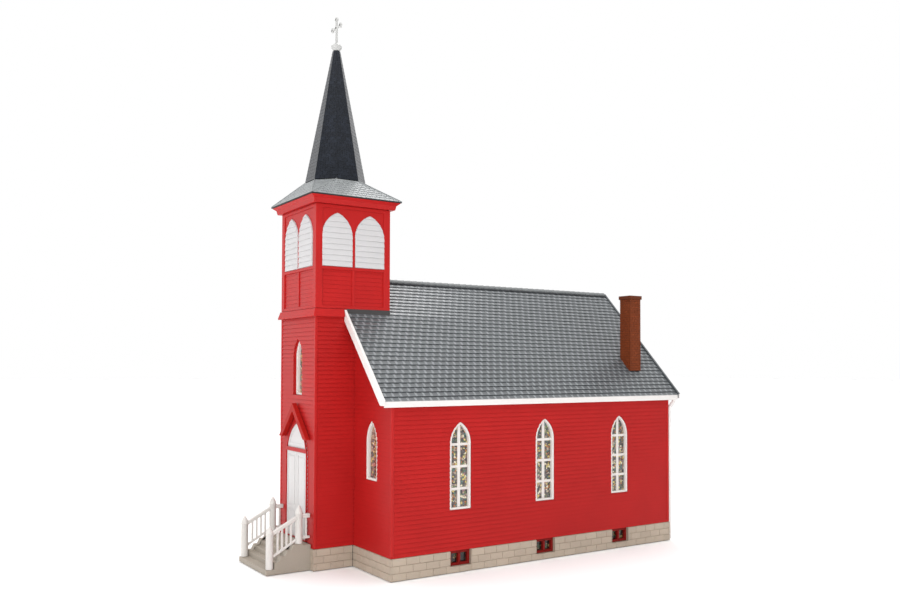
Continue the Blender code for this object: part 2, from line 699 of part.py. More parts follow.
def make_stairs():
    back = TOWER_FRONT_Y - GLUE_GAP
    rise = LANDING_Z / RISERS
    tread = (STAIR_DEPTH - LANDING_DEPTH - FIRST_TREAD) / (RISERS - 2)
    edges = [STAIR_FRONT_Y] + [STAIR_FRONT_Y + FIRST_TREAD + k * tread for k in range(RISERS - 1)]
    outline = [(back, 0), (STAIR_FRONT_Y, 0)]
    for k, y in enumerate(edges):
        outline += [(y, k * rise), (y, (k + 1) * rise)] if k else [(y, rise)]
    outline.append((back, LANDING_Z))
    half = STAIR_WIDTH / 2
    span = (-half + CHEEK_THICKNESS / 2, half - CHEEK_THICKNESS / 2)
    flight = plate("stairs", "side", outline[::-1], span, STONE)
    base = box("stair_base", (-half, STAIR_FRONT_Y, 0), (half, back, rise))
    # A cheek stands on the first tread, follows the steps and ends behind the upper newel.
    newel_back = TOWER_FRONT_Y - UPPER_NEWEL_DEPTH + NEWEL_RADIUS
    cheek_outline = [(edges[1], 0), (back, 0), (back, LANDING_Z), (newel_back, LANDING_Z)]
    cheek_outline.append((newel_back, LANDING_Z + CHEEK_RISE))
    for k in reversed(range(2, RISERS)):
        cheek_outline.append((edges[k], (k + 1) * rise + CHEEK_RISE))
        cheek_outline.append((edges[k] - CHEEK_SLANT, k * rise + CHEEK_RISE))
    cheek_outline.append((edges[1], 2 * rise + CHEEK_RISE))
    cheeks = []
    for name, side in SIDES:
        span = sided(side, half - CHEEK_THICKNESS, half)
        cheeks.append(plate("cheek_" + name, "side", cheek_outline, span))
    combine(flight, [base, *cheeks], "UNION")


def rail_line(y, low, high):
    """Height of a rail at y: it slopes from the lower newel to the upper one, then is level."""
    start = STAIR_FRONT_Y + FIRST_TREAD / 2
    end = TOWER_FRONT_Y - UPPER_NEWEL_DEPTH
    t = min(1.0, max(0.0, (y - start) / (end - start)))
    return low + (high - low) * t


def newel(name, x, y, low, top):
    """A round post with a pointed top."""
    shoulder = top - NEWEL_TIP
    profile = [
        (0, top),
        (NEWEL_RADIUS / 2, top - NEWEL_TIP / 3),
        (NEWEL_RADIUS, shoulder),
        (NEWEL_RADIUS, low),
        (0, low),
    ]
    return turned(name, profile, NEWEL_SIDES, (x, y), None, math.pi / NEWEL_SIDES)


def make_railings():
    """Each side is a flat lattice between rails, with its two newels."""
    start = STAIR_FRONT_Y + FIRST_TREAD / 2
    turn = TOWER_FRONT_Y - UPPER_NEWEL_DEPTH
    end = TOWER_FRONT_Y - GLUE_GAP

    def top(y):
        return rail_line(y, RAIL_LOW_Z, RAIL_HIGH_Z)

    def foot(y):
        return rail_line(y, FOOT_RAIL_LOW_Z, FOOT_RAIL_HIGH_Z)

    outline = [(y, foot(y)) for y in (start, turn, end)] + [(y, top(y)) for y in (end, turn, start)]
    holes = []
    sections = [(start + NEWEL_RADIUS, turn - NEWEL_RADIUS, SLOPE_GAPS)]
    sections.append((turn + NEWEL_RADIUS, end - BALUSTER, LEVEL_GAPS))
    for first, last, gaps in sections:
        width = (last - first - (gaps - 1) * BALUSTER) / gaps
        for k in range(gaps):
            low_y = first + k * (width + BALUSTER)
            high_y = low_y + width
            ring = [(low_y, foot(low_y) + RAIL_BAR), (high_y, foot(high_y) + RAIL_BAR)]
            ring += [(high_y, top(high_y) - RAIL_BAR), (low_y, top(low_y) - RAIL_BAR)]
            holes.append(ring)
    half = RAIL_THICKNESS / 2
    tread_z = LANDING_Z / RISERS + GLUE_GAP
    for name, side in SIDES:
        x = side * (STAIR_WIDTH / 2 - NEWEL_RADIUS)
        lattice = plate("railing_" + name, "side", outline, (x - half, x + half), WHITE, holes)
        lower = newel("lower_newel_" + name, x, start, tread_z, LOWER_NEWEL_TOP_Z)
        cheek_z = LANDING_Z + CHEEK_RISE + GLUE_GAP
        upper = newel("upper_newel_" + name, x, turn, cheek_z, UPPER_NEWEL_TOP_Z)
        combine(lattice, [lower, upper], "UNION")


def make_roof():
    rear = REAR_Y + ROOF_REAR_OVERHANG
    front = FRONT_Y - ROOF_FRONT_OVERHANG
    lip_x = (PEAK_Z - ROOF_DROP - EAVE_Z + EAVE_LIP) / SLOPE
    inner = GLUE_GAP / 2
    outline = [
        (inner, roof_z(inner)),
        (inner, roof_z(inner) - ROOF_DROP),
        (lip_x, EAVE_Z - EAVE_LIP),
        (EAVE_X, EAVE_Z - EAVE_LIP),
        (EAVE_X, EAVE_Z),
    ]
    edge = TOWER_HALF + GLUE_GAP
    for name, side in SIDES:
        shape = outline if side > 0 else mirrored(outline)
        panel = plate("roof_" + name, "front", shape, (front, rear), SLATE)
        low = (-edge, front - CUT_MARGIN, BAND_Z - CUT_MARGIN)
        high = (edge, TOWER_BACK_Y + GLUE_GAP, PEAK_Z + CUT_MARGIN)
        notch = box("tower_notch_" + name, low, high, None, cutters)
        combine(panel, [notch], "DIFFERENCE")
    cap = [
        (RIDGE_CAP_HALF, roof_z(RIDGE_CAP_HALF) + GLUE_GAP),
        (RIDGE_CAP_HALF, roof_z(RIDGE_CAP_HALF) + RIDGE_CAP_RISE),
        (0, PEAK_Z + RIDGE_CAP_RISE),
    ]
    cap = [(0, PEAK_Z + GLUE_GAP)] + cap
    cap += mirrored(cap[1:-1])
    plate("ridge_cap", "front", cap, (TOWER_BACK_Y + GLUE_GAP, rear), SLATE)


def barge_outline(inner, head):
    """A right-hand bargeboard from its inner end, as high as head, to a foot cut level."""
    outer = EAVE_X + BARGE_REACH
    top_outer = roof_z(outer) + BARGE_PROUD
    slope = (head - top_outer) / (outer - inner)
    foot_inner = inner + (head - BARGE_DROP - BARGE_FOOT_Z) / slope
    return [
        (inner, head - BARGE_DROP),
        (foot_inner, BARGE_FOOT_Z),
        (outer, BARGE_FOOT_Z),
        (outer, top_outer),
        (inner, head),
    ]


def make_bargeboards():
    """The front pair is a little steeper than the roof and ends at the belfry's foot."""
    face = FRONT_Y - ROOF_FRONT_OVERHANG - GLUE_GAP
    span = (FRONT_Y - BARGE_FRONT, face)
    outline = barge_outline(TOWER_HALF + GLUE_GAP, BARGE_HEAD_Z)
    plate("bargeboard_front_right", "front", outline, span, WHITE)
    plate("bargeboard_front_left", "front", mirrored(outline), span, WHITE)
    rear = REAR_Y + ROOF_REAR_OVERHANG
    outline = barge_outline(GLUE_GAP / 2, roof_z(GLUE_GAP / 2) + BARGE_PROUD)
    span = (rear + GLUE_GAP, rear + BARGE_THICKNESS)
    plate("bargeboard_rear_right", "front", outline, span, WHITE)
    plate("bargeboard_rear_left", "front", mirrored(outline), span, WHITE)


def pipe_path(side):
    """Centre line of a downpipe: out of the fascia's end, back to the rear wall and down."""
    x_out = HALF + GLUE_GAP + FASCIA_THICKNESS - PIPE_RADIUS
    x_wall = HALF - PIPE_INSET
    y_wall = REAR_Y + PIPE_RADIUS + PIPE_CLEARANCE
    y_out = REAR_Y + PIPE_SETBACK
    points = [
        (x_out, y_out, FASCIA_FOOT_Z + PIPE_OUTLET),
        (x_out, y_out, FASCIA_FOOT_Z - PIPE_OUTLET),
        (x_wall, y_wall, FASCIA_FOOT_Z - PIPE_ELBOW_DROP),
        (x_wall, y_wall, PIPE_FOOT_Z),
    ]
    return [(side * x, y, z) for x, y, z in points]


def make_gutters():
    front = FRONT_Y - ROOF_FRONT_OVERHANG
    rear = REAR_Y + ROOF_REAR_OVERHANG
    outline = rectangle((front, FASCIA_FOOT_Z), (rear, WALL_TOP_Z))
    for name, side in SIDES:
        span = sided(side, HALF + GLUE_GAP, HALF + GLUE_GAP + FASCIA_THICKNESS)
        gutter = plate("gutter_" + name, "side", outline, span, WHITE)
        curve = bpy.data.curves.new("downpipe_" + name, "CURVE")
        curve.dimensions = "3D"
        curve.bevel_depth = PIPE_RADIUS
        curve.bevel_resolution = 2
        curve.use_fill_caps = True
        spline = curve.splines.new("POLY")
        path = pipe_path(side)
        spline.points.add(len(path) - 1)
        for point, place in zip(spline.points, path):
            point.co = (*place, 1)
        guide = bpy.data.objects.new("downpipe_path_" + name, curve)
        cutters.objects.link(guide)
        pipe = baked("downpipe_" + name, guide, None, cutters)
        combine(gutter, [pipe], "UNION")


def make_chimney():
    half = CHIMNEY_SIDE / 2
    y = FRONT_Y + CHIMNEY_FROM_FRONT
    left, right = CHIMNEY_X - half, CHIMNEY_X + half
    inside_cap = (CHIMNEY_CAP_Z + CHIMNEY_TOP_Z) / 2
    outline = [
        (left, roof_z(left) + GLUE_GAP),
        (right, roof_z(right) + GLUE_GAP),
        (right, inside_cap),
        (left, inside_cap),
    ]
    shaft = plate("chimney", "front", outline, (y - half, y + half), BRICK)
    wide = half + CHIMNEY_CAP_PROUD
    low = (CHIMNEY_X - wide, y - wide, CHIMNEY_CAP_Z)
    high = (CHIMNEY_X + wide, y + wide, CHIMNEY_TOP_Z)
    cap = box("chimney_cap", low, high)
    combine(shaft, [cap], "UNION")


clear_scene()
church = make_collection("church")
cutters = make_collection("cutters", hidden=True)
make_foundation()
make_basement_windows()
make_floor()
make_nave_walls()
make_windows()
make_tower_walls()
make_band()
make_belfry()
make_cornice()
make_skirt()
make_spire()
make_finial()
make_entrance()
make_stairs()
make_railings()
make_roof()
make_bargeboards()
make_gutters()
make_chimney()
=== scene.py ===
import math

import bmesh
import bpy
from mathutils import Matrix, Vector


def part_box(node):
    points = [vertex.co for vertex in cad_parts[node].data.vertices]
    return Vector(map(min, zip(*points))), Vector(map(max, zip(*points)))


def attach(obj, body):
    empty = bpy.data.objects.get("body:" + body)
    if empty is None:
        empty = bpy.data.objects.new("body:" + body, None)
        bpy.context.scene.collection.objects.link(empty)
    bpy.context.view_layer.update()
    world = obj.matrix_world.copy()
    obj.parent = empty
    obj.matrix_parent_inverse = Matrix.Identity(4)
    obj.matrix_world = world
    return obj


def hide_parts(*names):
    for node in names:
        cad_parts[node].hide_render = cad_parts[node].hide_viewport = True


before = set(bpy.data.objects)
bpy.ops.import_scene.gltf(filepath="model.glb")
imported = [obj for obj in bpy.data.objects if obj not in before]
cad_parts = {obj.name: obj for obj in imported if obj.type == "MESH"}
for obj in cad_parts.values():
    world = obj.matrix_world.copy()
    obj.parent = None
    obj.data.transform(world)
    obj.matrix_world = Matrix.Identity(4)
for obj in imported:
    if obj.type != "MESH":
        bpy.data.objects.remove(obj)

mm = 0.001
scene = bpy.context.scene
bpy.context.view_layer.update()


def say(text):
    print("church model:", text)


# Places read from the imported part, in metres
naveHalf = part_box("nave_wall_right")[1].x
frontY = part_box("nave_wall_front_right")[0].y
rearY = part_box("nave_wall_rear")[1].y
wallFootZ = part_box("nave_wall_right")[0].z
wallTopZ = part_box("nave_wall_right")[1].z
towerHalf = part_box("tower_wall_front")[1].x
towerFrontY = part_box("tower_wall_front")[0].y
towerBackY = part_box("tower_wall_back")[1].y
towerY = (towerFrontY + towerBackY) / 2
towerDeep = (towerBackY - towerFrontY) / 2
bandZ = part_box("tower_band")[0].z
belfryLow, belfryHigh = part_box("belfry_wall_front")
roofLow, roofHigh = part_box("roof_right")
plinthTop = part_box("foundation_right")[1].z
slopeAngle = math.atan2(roofHigh.z - roofLow.z, roofHigh.x - roofLow.x)
bothSides = (("right", 1), ("left", -1))
hair = 0.01 * mm  # points this near a face count as on it, and tiles keep this far apart
arris = 0.08 * mm  # usual rounding of a moulded edge
sharpAngle = math.radians(35)  # edges that turn more than this are rounded


def linked(name, data):
    thing = bpy.data.objects.new(name, data)
    scene.collection.objects.link(thing)
    return thing


# The object's mesh with its modifiers applied; the object goes.
def evaluated(thing):
    bpy.context.view_layer.update()
    graph = bpy.context.evaluated_depsgraph_get()
    mesh = bpy.data.meshes.new_from_object(thing.evaluated_get(graph))
    mesh.transform(thing.matrix_world)
    bpy.data.objects.remove(thing, do_unlink=True)
    return mesh


def meshOf(shape):
    mesh = bpy.data.meshes.new("shape")
    shape.to_mesh(mesh)
    shape.free()
    return mesh


def shapeOf(mesh):
    shape = bmesh.new()
    shape.from_mesh(mesh)
    return shape


def dissolved(shape, degrees):
    bmesh.ops.dissolve_limit(shape, angle_limit=math.radians(degrees), verts=shape.verts,
                             edges=shape.edges)


def cadPoints(node):
    return [vertex.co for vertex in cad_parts[node].data.vertices]


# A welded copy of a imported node's mesh.
def cadMesh(node, dissolve=False):
    shape = shapeOf(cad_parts[node].data)
    bmesh.ops.remove_doubles(shape, verts=shape.verts, dist=0.001 * mm)
    if dissolve:
        dissolved(shape, 1)
    return meshOf(shape)


# Moves the mesh's outermost face along an axis inwards by a distance.
def pushed(mesh, axis, sign, distance):
    edge = max(sign * vertex.co[axis] for vertex in mesh.vertices)
    for vertex in mesh.vertices:
        if sign * vertex.co[axis] > edge - hair:
            vertex.co[axis] -= sign * distance
    return mesh


# What the mesh and the cutter share
def cut(mesh, cutter):
    thing, other = linked("body", mesh), linked("cutter", cutter)
    step = thing.modifiers.new("cut", "BOOLEAN")
    step.operation = "INTERSECT"
    step.object = other
    step.solver = "EXACT"
    result = evaluated(thing)
    bpy.data.objects.remove(other, do_unlink=True)
    return result


# The mesh with its sharp edges rounded, as a moulding's are.
def softened(mesh, width, segments=2):
    thing = linked("body", mesh)
    step = thing.modifiers.new("soften", "BEVEL")
    step.width = width
    step.segments = segments
    step.limit_method = "ANGLE"
    step.angle_limit = sharpAngle
    step.use_clamp_overlap = True
    return evaluated(thing)


# One mesh from several. A part is a mesh, or a mesh with its material's index.
def joined(parts):
    shape = bmesh.new()
    for part in parts:
        mesh, index = part if isinstance(part, tuple) else (part, 0)
        start = len(shape.faces)
        shape.from_mesh(mesh)
        shape.faces.ensure_lookup_table()
        for face in shape.faces[start:]:
            face.material_index = index
    return meshOf(shape)


def smooth(mesh, angle):
    mesh.shade_smooth()
    mesh.set_sharp_from_angle(angle=math.radians(angle))
    return mesh


# Links a finished piece under the root and hides the imported parts it replaces.
def piece(name, parts, materials, replaced=()):
    mesh = joined(parts)
    mesh.name = name
    for material in materials:
        mesh.materials.append(material)
    thing = linked(name, mesh)
    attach(thing, "root")
    if replaced:
        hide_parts(*replaced)
    return thing


def block(low, high):
    shape = bmesh.new()
    bmesh.ops.create_cube(shape, size=1.0)
    for vertex in shape.verts:
        vertex.co = [b if c > 0 else a for a, b, c in zip(low, high, vertex.co)]
    return meshOf(shape)


# An outline in the first two axes, made thick from low to high along the third.
def prism(outline, low, high, holes=()):
    curve = bpy.data.curves.new("outline", "CURVE")
    curve.dimensions = "2D"
    curve.fill_mode = "BOTH"
    curve.extrude = (high - low) / 2
    for ring in (outline, *holes):
        spline = curve.splines.new("POLY")
        spline.points.add(len(ring) - 1)
        for point, (u, v) in zip(spline.points, ring):
            point.co = (u, v, 0, 1)
        spline.use_cyclic_u = True
    mesh = evaluated(linked("outline", curve))
    shape = shapeOf(moved(mesh, Matrix.Translation((0, 0, (low + high) / 2))))
    bmesh.ops.remove_doubles(shape, verts=shape.verts, dist=0.0005 * mm)
    dissolved(shape, 0.5)
    bmesh.ops.recalc_face_normals(shape, faces=shape.faces)
    return meshOf(shape)


# A solid about the vertical axis from radii and heights, foot first.
def turnedMesh(profile, sides, turn=0.0):
    shape = bmesh.new()
    rings = []
    for radius, z in profile:
        spots = []
        for k in range(sides):
            a = turn + math.tau * k / sides
            spots.append(shape.verts.new((radius * math.cos(a), radius * math.sin(a), z)))
        rings.append(spots)
    for lower, upper in zip(rings, rings[1:]):
        for k in range(sides):
            after = (k + 1) % sides
            shape.faces.new((lower[k], lower[after], upper[after], upper[k]))
    shape.faces.new(reversed(rings[0]))
    shape.faces.new(rings[-1])
    return meshOf(shape)


def moved(mesh, matrix):
    mesh.transform(matrix)
    return mesh


# Local axes of a face: x along it, y up it, z out of it.
def facing(origin, outward, up=(0, 0, 1)):
    out, rise = Vector(outward).normalized(), Vector(up).normalized()
    along = rise.cross(out)
    matrix = Matrix((along, rise, out)).transposed().to_4x4()
    matrix.translation = origin
    return matrix


# A pointed arch's outline, made smaller all round by shrink.
def lancet(centre, width, foot, spring, top, shrink=0.0, steps=10):
    half = width / 2 - shrink
    rise = top - shrink - spring
    inset = (rise**2 - half**2) / (2 * half)
    radius = half + inset
    end = math.asin(min(1.0, rise / radius))
    angles = [end * k / steps for k in range(steps + 1)]
    right = [(radius * math.cos(a) - inset, spring + radius * math.sin(a)) for a in angles]
    left = [(-u, v) for u, v in reversed(right[:-1])]
    ring = [(half, foot + shrink), *right, *left, (-half, foot + shrink)]
    return [(centre + u, v) for u, v in ring]


def rectangle(low, high):
    return [(low[0], low[1]), (high[0], low[1]), (high[0], high[1]), (low[0], high[1])]


# Geometry Nodes: a tile is repeated in courses, then realised

# Links or sets a node's inputs.
def feed(tree, node, inputs):
    for key, value in inputs.items():
        if isinstance(value, bpy.types.NodeSocket):
            tree.links.new(value, node.inputs[key])
        else:
            node.inputs[key].default_value = value
    return node


def addNode(tree, kind, inputs, **settings):
    node = tree.nodes.new(kind)
    for key, value in settings.items():
        setattr(node, key, value)
    return feed(tree, node, inputs)


def result(node):
    return next(socket for socket in node.outputs if socket.enabled)


def maths(tree, operation, *values):
    return result(addNode(tree, "ShaderNodeMath", dict(enumerate(values)), operation=operation))


def randomValue(tree, low, high, seed):
    return result(addNode(tree, "FunctionNodeRandomValue", {2: low, 3: high, 8: seed},
                          data_type="FLOAT"))


def makeCoursesTree():
    tree = bpy.data.node_groups.new("courses", "GeometryNodeTree")
    inputs = (
        ("Tile", "Object"), ("Material", "Material"), ("Columns", "Int"), ("Rows", "Int"),
        ("Column pitch", "Float"), ("Row pitch", "Float"), ("Bond", "Float"), ("Cycle", "Float"),
        ("Lift", "Float"), ("Tilt", "Float"), ("Seed", "Int"),
    )
    for label, kind in inputs:
        tree.interface.new_socket(label, in_out="INPUT", socket_type="NodeSocket" + kind)
    tree.interface.new_socket("Geometry", in_out="OUTPUT", socket_type="NodeSocketGeometry")
    given = tree.nodes.new("NodeGroupInput").outputs
    columns = maths(tree, "SUBTRACT", given["Columns"], 1.0)
    rows = maths(tree, "SUBTRACT", given["Rows"], 1.0)
    grid = addNode(tree, "GeometryNodeMeshGrid", {
        "Size X": maths(tree, "MULTIPLY", columns, given["Column pitch"]),
        "Size Y": maths(tree, "MULTIPLY", rows, given["Row pitch"]),
        "Vertices X": given["Columns"], "Vertices Y": given["Rows"],
    })
    position = tree.nodes.new("GeometryNodeInputPosition").outputs[0]
    place = addNode(tree, "ShaderNodeSeparateXYZ", {0: position})
    steps = maths(tree, "DIVIDE", place.outputs["Y"], given["Row pitch"])
    row = maths(tree, "ROUND", maths(tree, "ADD", steps, maths(tree, "MULTIPLY", rows, 0.5)))
    turn = maths(tree, "MODULO", row, given["Cycle"])  # the bond starts again after so many rows
    shift = maths(tree, "MULTIPLY", turn, maths(tree, "MULTIPLY", given["Bond"], given["Column pitch"]))
    lift = randomValue(tree, 0.0, given["Lift"], given["Seed"])
    offset = addNode(tree, "ShaderNodeCombineXYZ", {"X": shift, "Z": lift})
    spots = addNode(tree, "GeometryNodeSetPosition", {
        "Geometry": grid.outputs["Mesh"], "Offset": offset.outputs[0],
    })
    low = maths(tree, "MULTIPLY", given["Tilt"], -1.0)
    tilt = randomValue(tree, low, given["Tilt"], maths(tree, "ADD", given["Seed"], 1.0))
    twist = maths(tree, "MULTIPLY", tilt, 0.5)
    lean = addNode(tree, "ShaderNodeCombineXYZ", {"X": tilt, "Z": twist})
    tile = addNode(tree, "GeometryNodeObjectInfo", {"Object": given["Tile"]})
    copies = addNode(tree, "GeometryNodeInstanceOnPoints", {
        "Points": spots.outputs[0], "Instance": tile.outputs["Geometry"], "Rotation": lean.outputs[0],
    })
    tone = randomValue(tree, 0.0, 1.0, maths(tree, "ADD", given["Seed"], 2.0))
    toned = addNode(tree, "GeometryNodeStoreNamedAttribute", {
        "Geometry": copies.outputs[0], "Name": "tone", "Value": tone,
    }, data_type="FLOAT", domain="INSTANCE")
    real = addNode(tree, "GeometryNodeRealizeInstances", {"Geometry": toned.outputs[0]})
    coated = addNode(tree, "GeometryNodeSetMaterial", {
        "Geometry": real.outputs[0], "Material": given["Material"],
    })
    tree.links.new(coated.outputs[0], tree.nodes.new("NodeGroupOutput").inputs[0])
    return tree


coursesTree = makeCoursesTree()


# Tiles in rows about the matrix's origin, as one mesh in the model's own place.
def courses(tile, material, columns, rows, columnPitch, rowPitch, matrix, bond=0.0, cycle=2,
            lift=0.0, tilt=0.0, seed=1):
    pattern = linked("tile", tile)
    host = linked("host", bpy.data.meshes.new("host"))
    step = host.modifiers.new("courses", "NODES")
    step.node_group = coursesTree
    values = {
        "Tile": pattern, "Material": material, "Columns": columns, "Rows": rows,
        "Column pitch": columnPitch, "Row pitch": rowPitch, "Bond": bond, "Cycle": float(cycle),
        "Lift": lift, "Tilt": tilt, "Seed": seed,
    }
    for item in coursesTree.interface.items_tree:
        if item.in_out == "INPUT":
            step[item.identifier] = values[item.name]
    mesh = evaluated(host)
    bpy.data.objects.remove(pattern, do_unlink=True)
    return moved(mesh, matrix)


# A tile: butt is how far its lower edge stands out, tip its upper edge. The dark line of the
# given width along its upper edge, where the next tile ends, is painted shade under that butt.
def wedge(width, height, butt, tip, back, bevel=0.0, paintedShade=0.0):
    shape = bmesh.new()
    bmesh.ops.create_cube(shape, size=1.0)
    for vertex in shape.verts:
        x, y, z = vertex.co
        depth = (butt if y < 0 else tip) if z > 0 else back
        vertex.co = (x * width, y * height, depth)
    rim = shape.faces.layers.float.new("rim")
    if bevel:
        floor = back + 0.001 * mm
        upper = [edge for edge in shape.edges if min(v.co.z for v in edge.verts) > floor]
        made = bmesh.ops.bevel(shape, geom=upper, offset=bevel, segments=1, affect="EDGES",
                               profile=0.5)
        # bevelled faces are marked as rims; with the skirt's material their lighter colour is painted
        # highlight, partly wear
        for face in made["faces"]:
            face[rim] = 1.0
    if paintedShade:
        line = height / 2 - paintedShade
        everything = [*shape.verts, *shape.edges, *shape.faces]
        bmesh.ops.bisect_plane(shape, geom=everything, plane_co=(0, line, 0), plane_no=(0, 1, 0))
        for face in shape.faces:
            if face.normal.z > 0.5 and face.calc_center_median().y > line:
                face[rim] = -1.0
    return meshOf(shape)


# Materials

def newMaterial(name):
    material = bpy.data.materials.new(name)
    material.use_nodes = True
    return material, material.node_tree, material.node_tree.nodes["Principled BSDF"]


def attribute(tree, name):
    return addNode(tree, "ShaderNodeAttribute", {}, attribute_name=name).outputs["Fac"]


# The colour with its value multiplied
def valued(tree, colour, value):
    node = addNode(tree, "ShaderNodeHueSaturation", {"Color": colour, "Value": value})
    return node.outputs["Color"]


def mixColour(tree, factor, *pair):
    first, second = (c if isinstance(c, bpy.types.NodeSocket) else (*c, 1.0) for c in pair)
    mix = addNode(tree, "ShaderNodeMix", {0: factor, 6: first, 7: second}, data_type="RGBA")
    return mix.outputs[2]


def ranged(tree, value, low, high):
    node = addNode(tree, "ShaderNodeMapRange", {"Value": value, "To Min": low, "To Max": high})
    return node.outputs[0]


moulding = {
    "patch": 70.0,  # scale of the soft patches of tone
    "grain": 2600.0,  # and of the fine grain
    "speck": 0.06,  # how much the grain changes the tone
    "gloss": 0.06,  # how much the roughness varies
    "bump": 0.5,
}


# Moulded plastic: soft patches of tone, a fine grain and a satin gloss that varies a little.
def plastic(name, colour, roughness, shade=0.88, relief=0.012, toned=0.0, rimHighlight=None, paintedShade=None,
            coat=0.0, specular=0.3):
    material, tree, shader = newMaterial(name + "_plastic")
    place = tree.nodes.new("ShaderNodeTexCoord").outputs["Object"]
    patches, fine = (
        addNode(tree, "ShaderNodeTexNoise", {
            "Vector": place, "Scale": moulding[kind], "Detail": detail,
        }).outputs["Fac"]
        for kind, detail in (("patch", 3.0), ("grain", 4.0))
    )
    dark = tuple(channel * shade for channel in colour)
    base = mixColour(tree, ranged(tree, patches, -0.5, 1.5), dark, colour)
    speck, vary = moulding["speck"], moulding["gloss"]
    base = valued(tree, base, ranged(tree, fine, 1 - speck, 1 + speck))
    if toned:
        base = valued(tree, base, ranged(tree, attribute(tree, "tone"), 1 - toned, 1 + toned))
    # a lighter colour on faces marked as rims: painted highlight on edges, partly wear
    if rimHighlight:
        base = mixColour(tree, attribute(tree, "rim"), base, rimHighlight)
    # faces marked -1 take the darker colour: painted shade under the next board or course
    if paintedShade:
        base = mixColour(tree, maths(tree, "MULTIPLY", attribute(tree, "rim"), -1.0), base, paintedShade)
    gloss = ranged(tree, patches, roughness - vary, roughness + vary)
    bump = addNode(tree, "ShaderNodeBump", {
        "Height": fine, "Strength": moulding["bump"], "Distance": relief * mm,
    })
    feed(tree, shader, {
        "Base Color": base, "Roughness": gloss, "Normal": bump.outputs["Normal"],
        "Coat Weight": coat, "Specular IOR Level": specular,
    })
    return material


glazed = {"joint": (0.02, 0.09), "roughness": 0.25, "coat": 0.4}


# Printed coloured panes behind clear film: small pieces with dark joints.
def mosaic(name, palette, cell, lead):
    material, tree, shader = newMaterial(name)
    place = tree.nodes.new("ShaderNodeTexCoord").outputs["Object"]
    cells, edges = (
        addNode(tree, "ShaderNodeTexVoronoi", {"Vector": place, "Scale": 1 / cell}, feature=feature)
        for feature in ("F1", "DISTANCE_TO_EDGE")
    )
    pick = addNode(tree, "ShaderNodeSeparateColor", {0: cells.outputs["Color"]})
    ramp = tree.nodes.new("ShaderNodeValToRGB")
    tree.links.new(pick.outputs[0], ramp.inputs[0])
    ramp.color_ramp.interpolation = "CONSTANT"
    points = ramp.color_ramp.elements
    while len(points) < len(palette):
        points.new(0.5)
    for k, colour in enumerate(palette):
        points[k].position = k / len(palette)
        points[k].color = (*colour, 1.0)
    near, far = glazed["joint"]
    joint = addNode(tree, "ShaderNodeMapRange", {
        "Value": edges.outputs["Distance"], "From Min": near, "From Max": far,
    })
    base = mixColour(tree, joint.outputs[0], lead, ramp.outputs["Color"])
    feed(tree, shader, {
        "Base Color": base, "Roughness": glazed["roughness"], "Coat Weight": glazed["coat"],
    })
    return material


# The red's darker second colour is painted shade: a line under each board's butt.
red = plastic("red", (0.455, 0.011, 0.0105), 0.5, specular=0.22,
              paintedShade=(0.39, 0.009, 0.0085))
# A darker, less glossy copy of the red: painted shade on the entrance hood.
shadedHoodRed = plastic("hood", (0.40, 0.011, 0.008), 0.5, specular=0.1)
darkRed = plastic("dark_red", (0.22, 0.007, 0.005), 0.5, specular=0.15)
white = plastic("white", (0.78, 0.75, 0.73), 0.42, shade=0.95)
doorWhite = plastic("door", (0.62, 0.605, 0.60), 0.42, shade=0.95)
frameWhite = plastic("frame", (0.74, 0.70, 0.67), 0.42, shade=0.95)
louvreWhite = plastic("louvre", (0.56, 0.55, 0.555), 0.5, shade=0.96)
# The rails' and the cross's whites are darker copies of the white: painted shade, so they don't glare
# in the bright light.
shadedRailWhite = plastic("rail", (0.66, 0.635, 0.605), 0.42, shade=0.95)
shadedFinialWhite = plastic("finial", (0.50, 0.50, 0.49), 0.5, shade=0.97, relief=0.0)
stone = plastic("beige", (0.47, 0.39, 0.31), 0.62, toned=0.05, relief=0.03)
mortar = plastic("beige_joint", (0.43, 0.36, 0.28), 0.7)
concrete = plastic("stair", (0.37, 0.325, 0.27), 0.6, relief=0.03)
# Lighter rims: painted highlight on the slates' edges, partly wear; the darker strip is painted shade
# under the next course.
slate = plastic("slate", (0.078, 0.087, 0.094), 0.37, toned=0.1, rimHighlight=(0.225, 0.24, 0.25),
                paintedShade=(0.02, 0.022, 0.026), specular=0.5)
# Lighter than the roof's slates: painted highlight, as the ridge tiles face the light above.
litRidgeSlate = plastic("ridge", (0.17, 0.18, 0.183), 0.42, toned=0.08)
# Dark grey: painted shade under the belfry on the flashing strips.
flashing = plastic("flashing", (0.055, 0.05, 0.05), 0.5)
# Near black: painted shade under the slates where gaps and the roof's edges show, under the ridge tiles
# and in the tower's corner on the plinth.
slateShade = plastic("slate_shade", (0.035, 0.038, 0.043), 0.6)
# Its lighter rims are painted highlight on the shingles' bevels, partly wear.
skirtSlate = plastic("skirt_slate", (0.29, 0.305, 0.31), 0.45, toned=0.1,
                     rimHighlight=(0.37, 0.385, 0.39))
# A lighter grey for the beads: painted highlight along the skirt's hips.
skirtHipHighlight = plastic("skirt_hip", (0.32, 0.335, 0.34), 0.45)
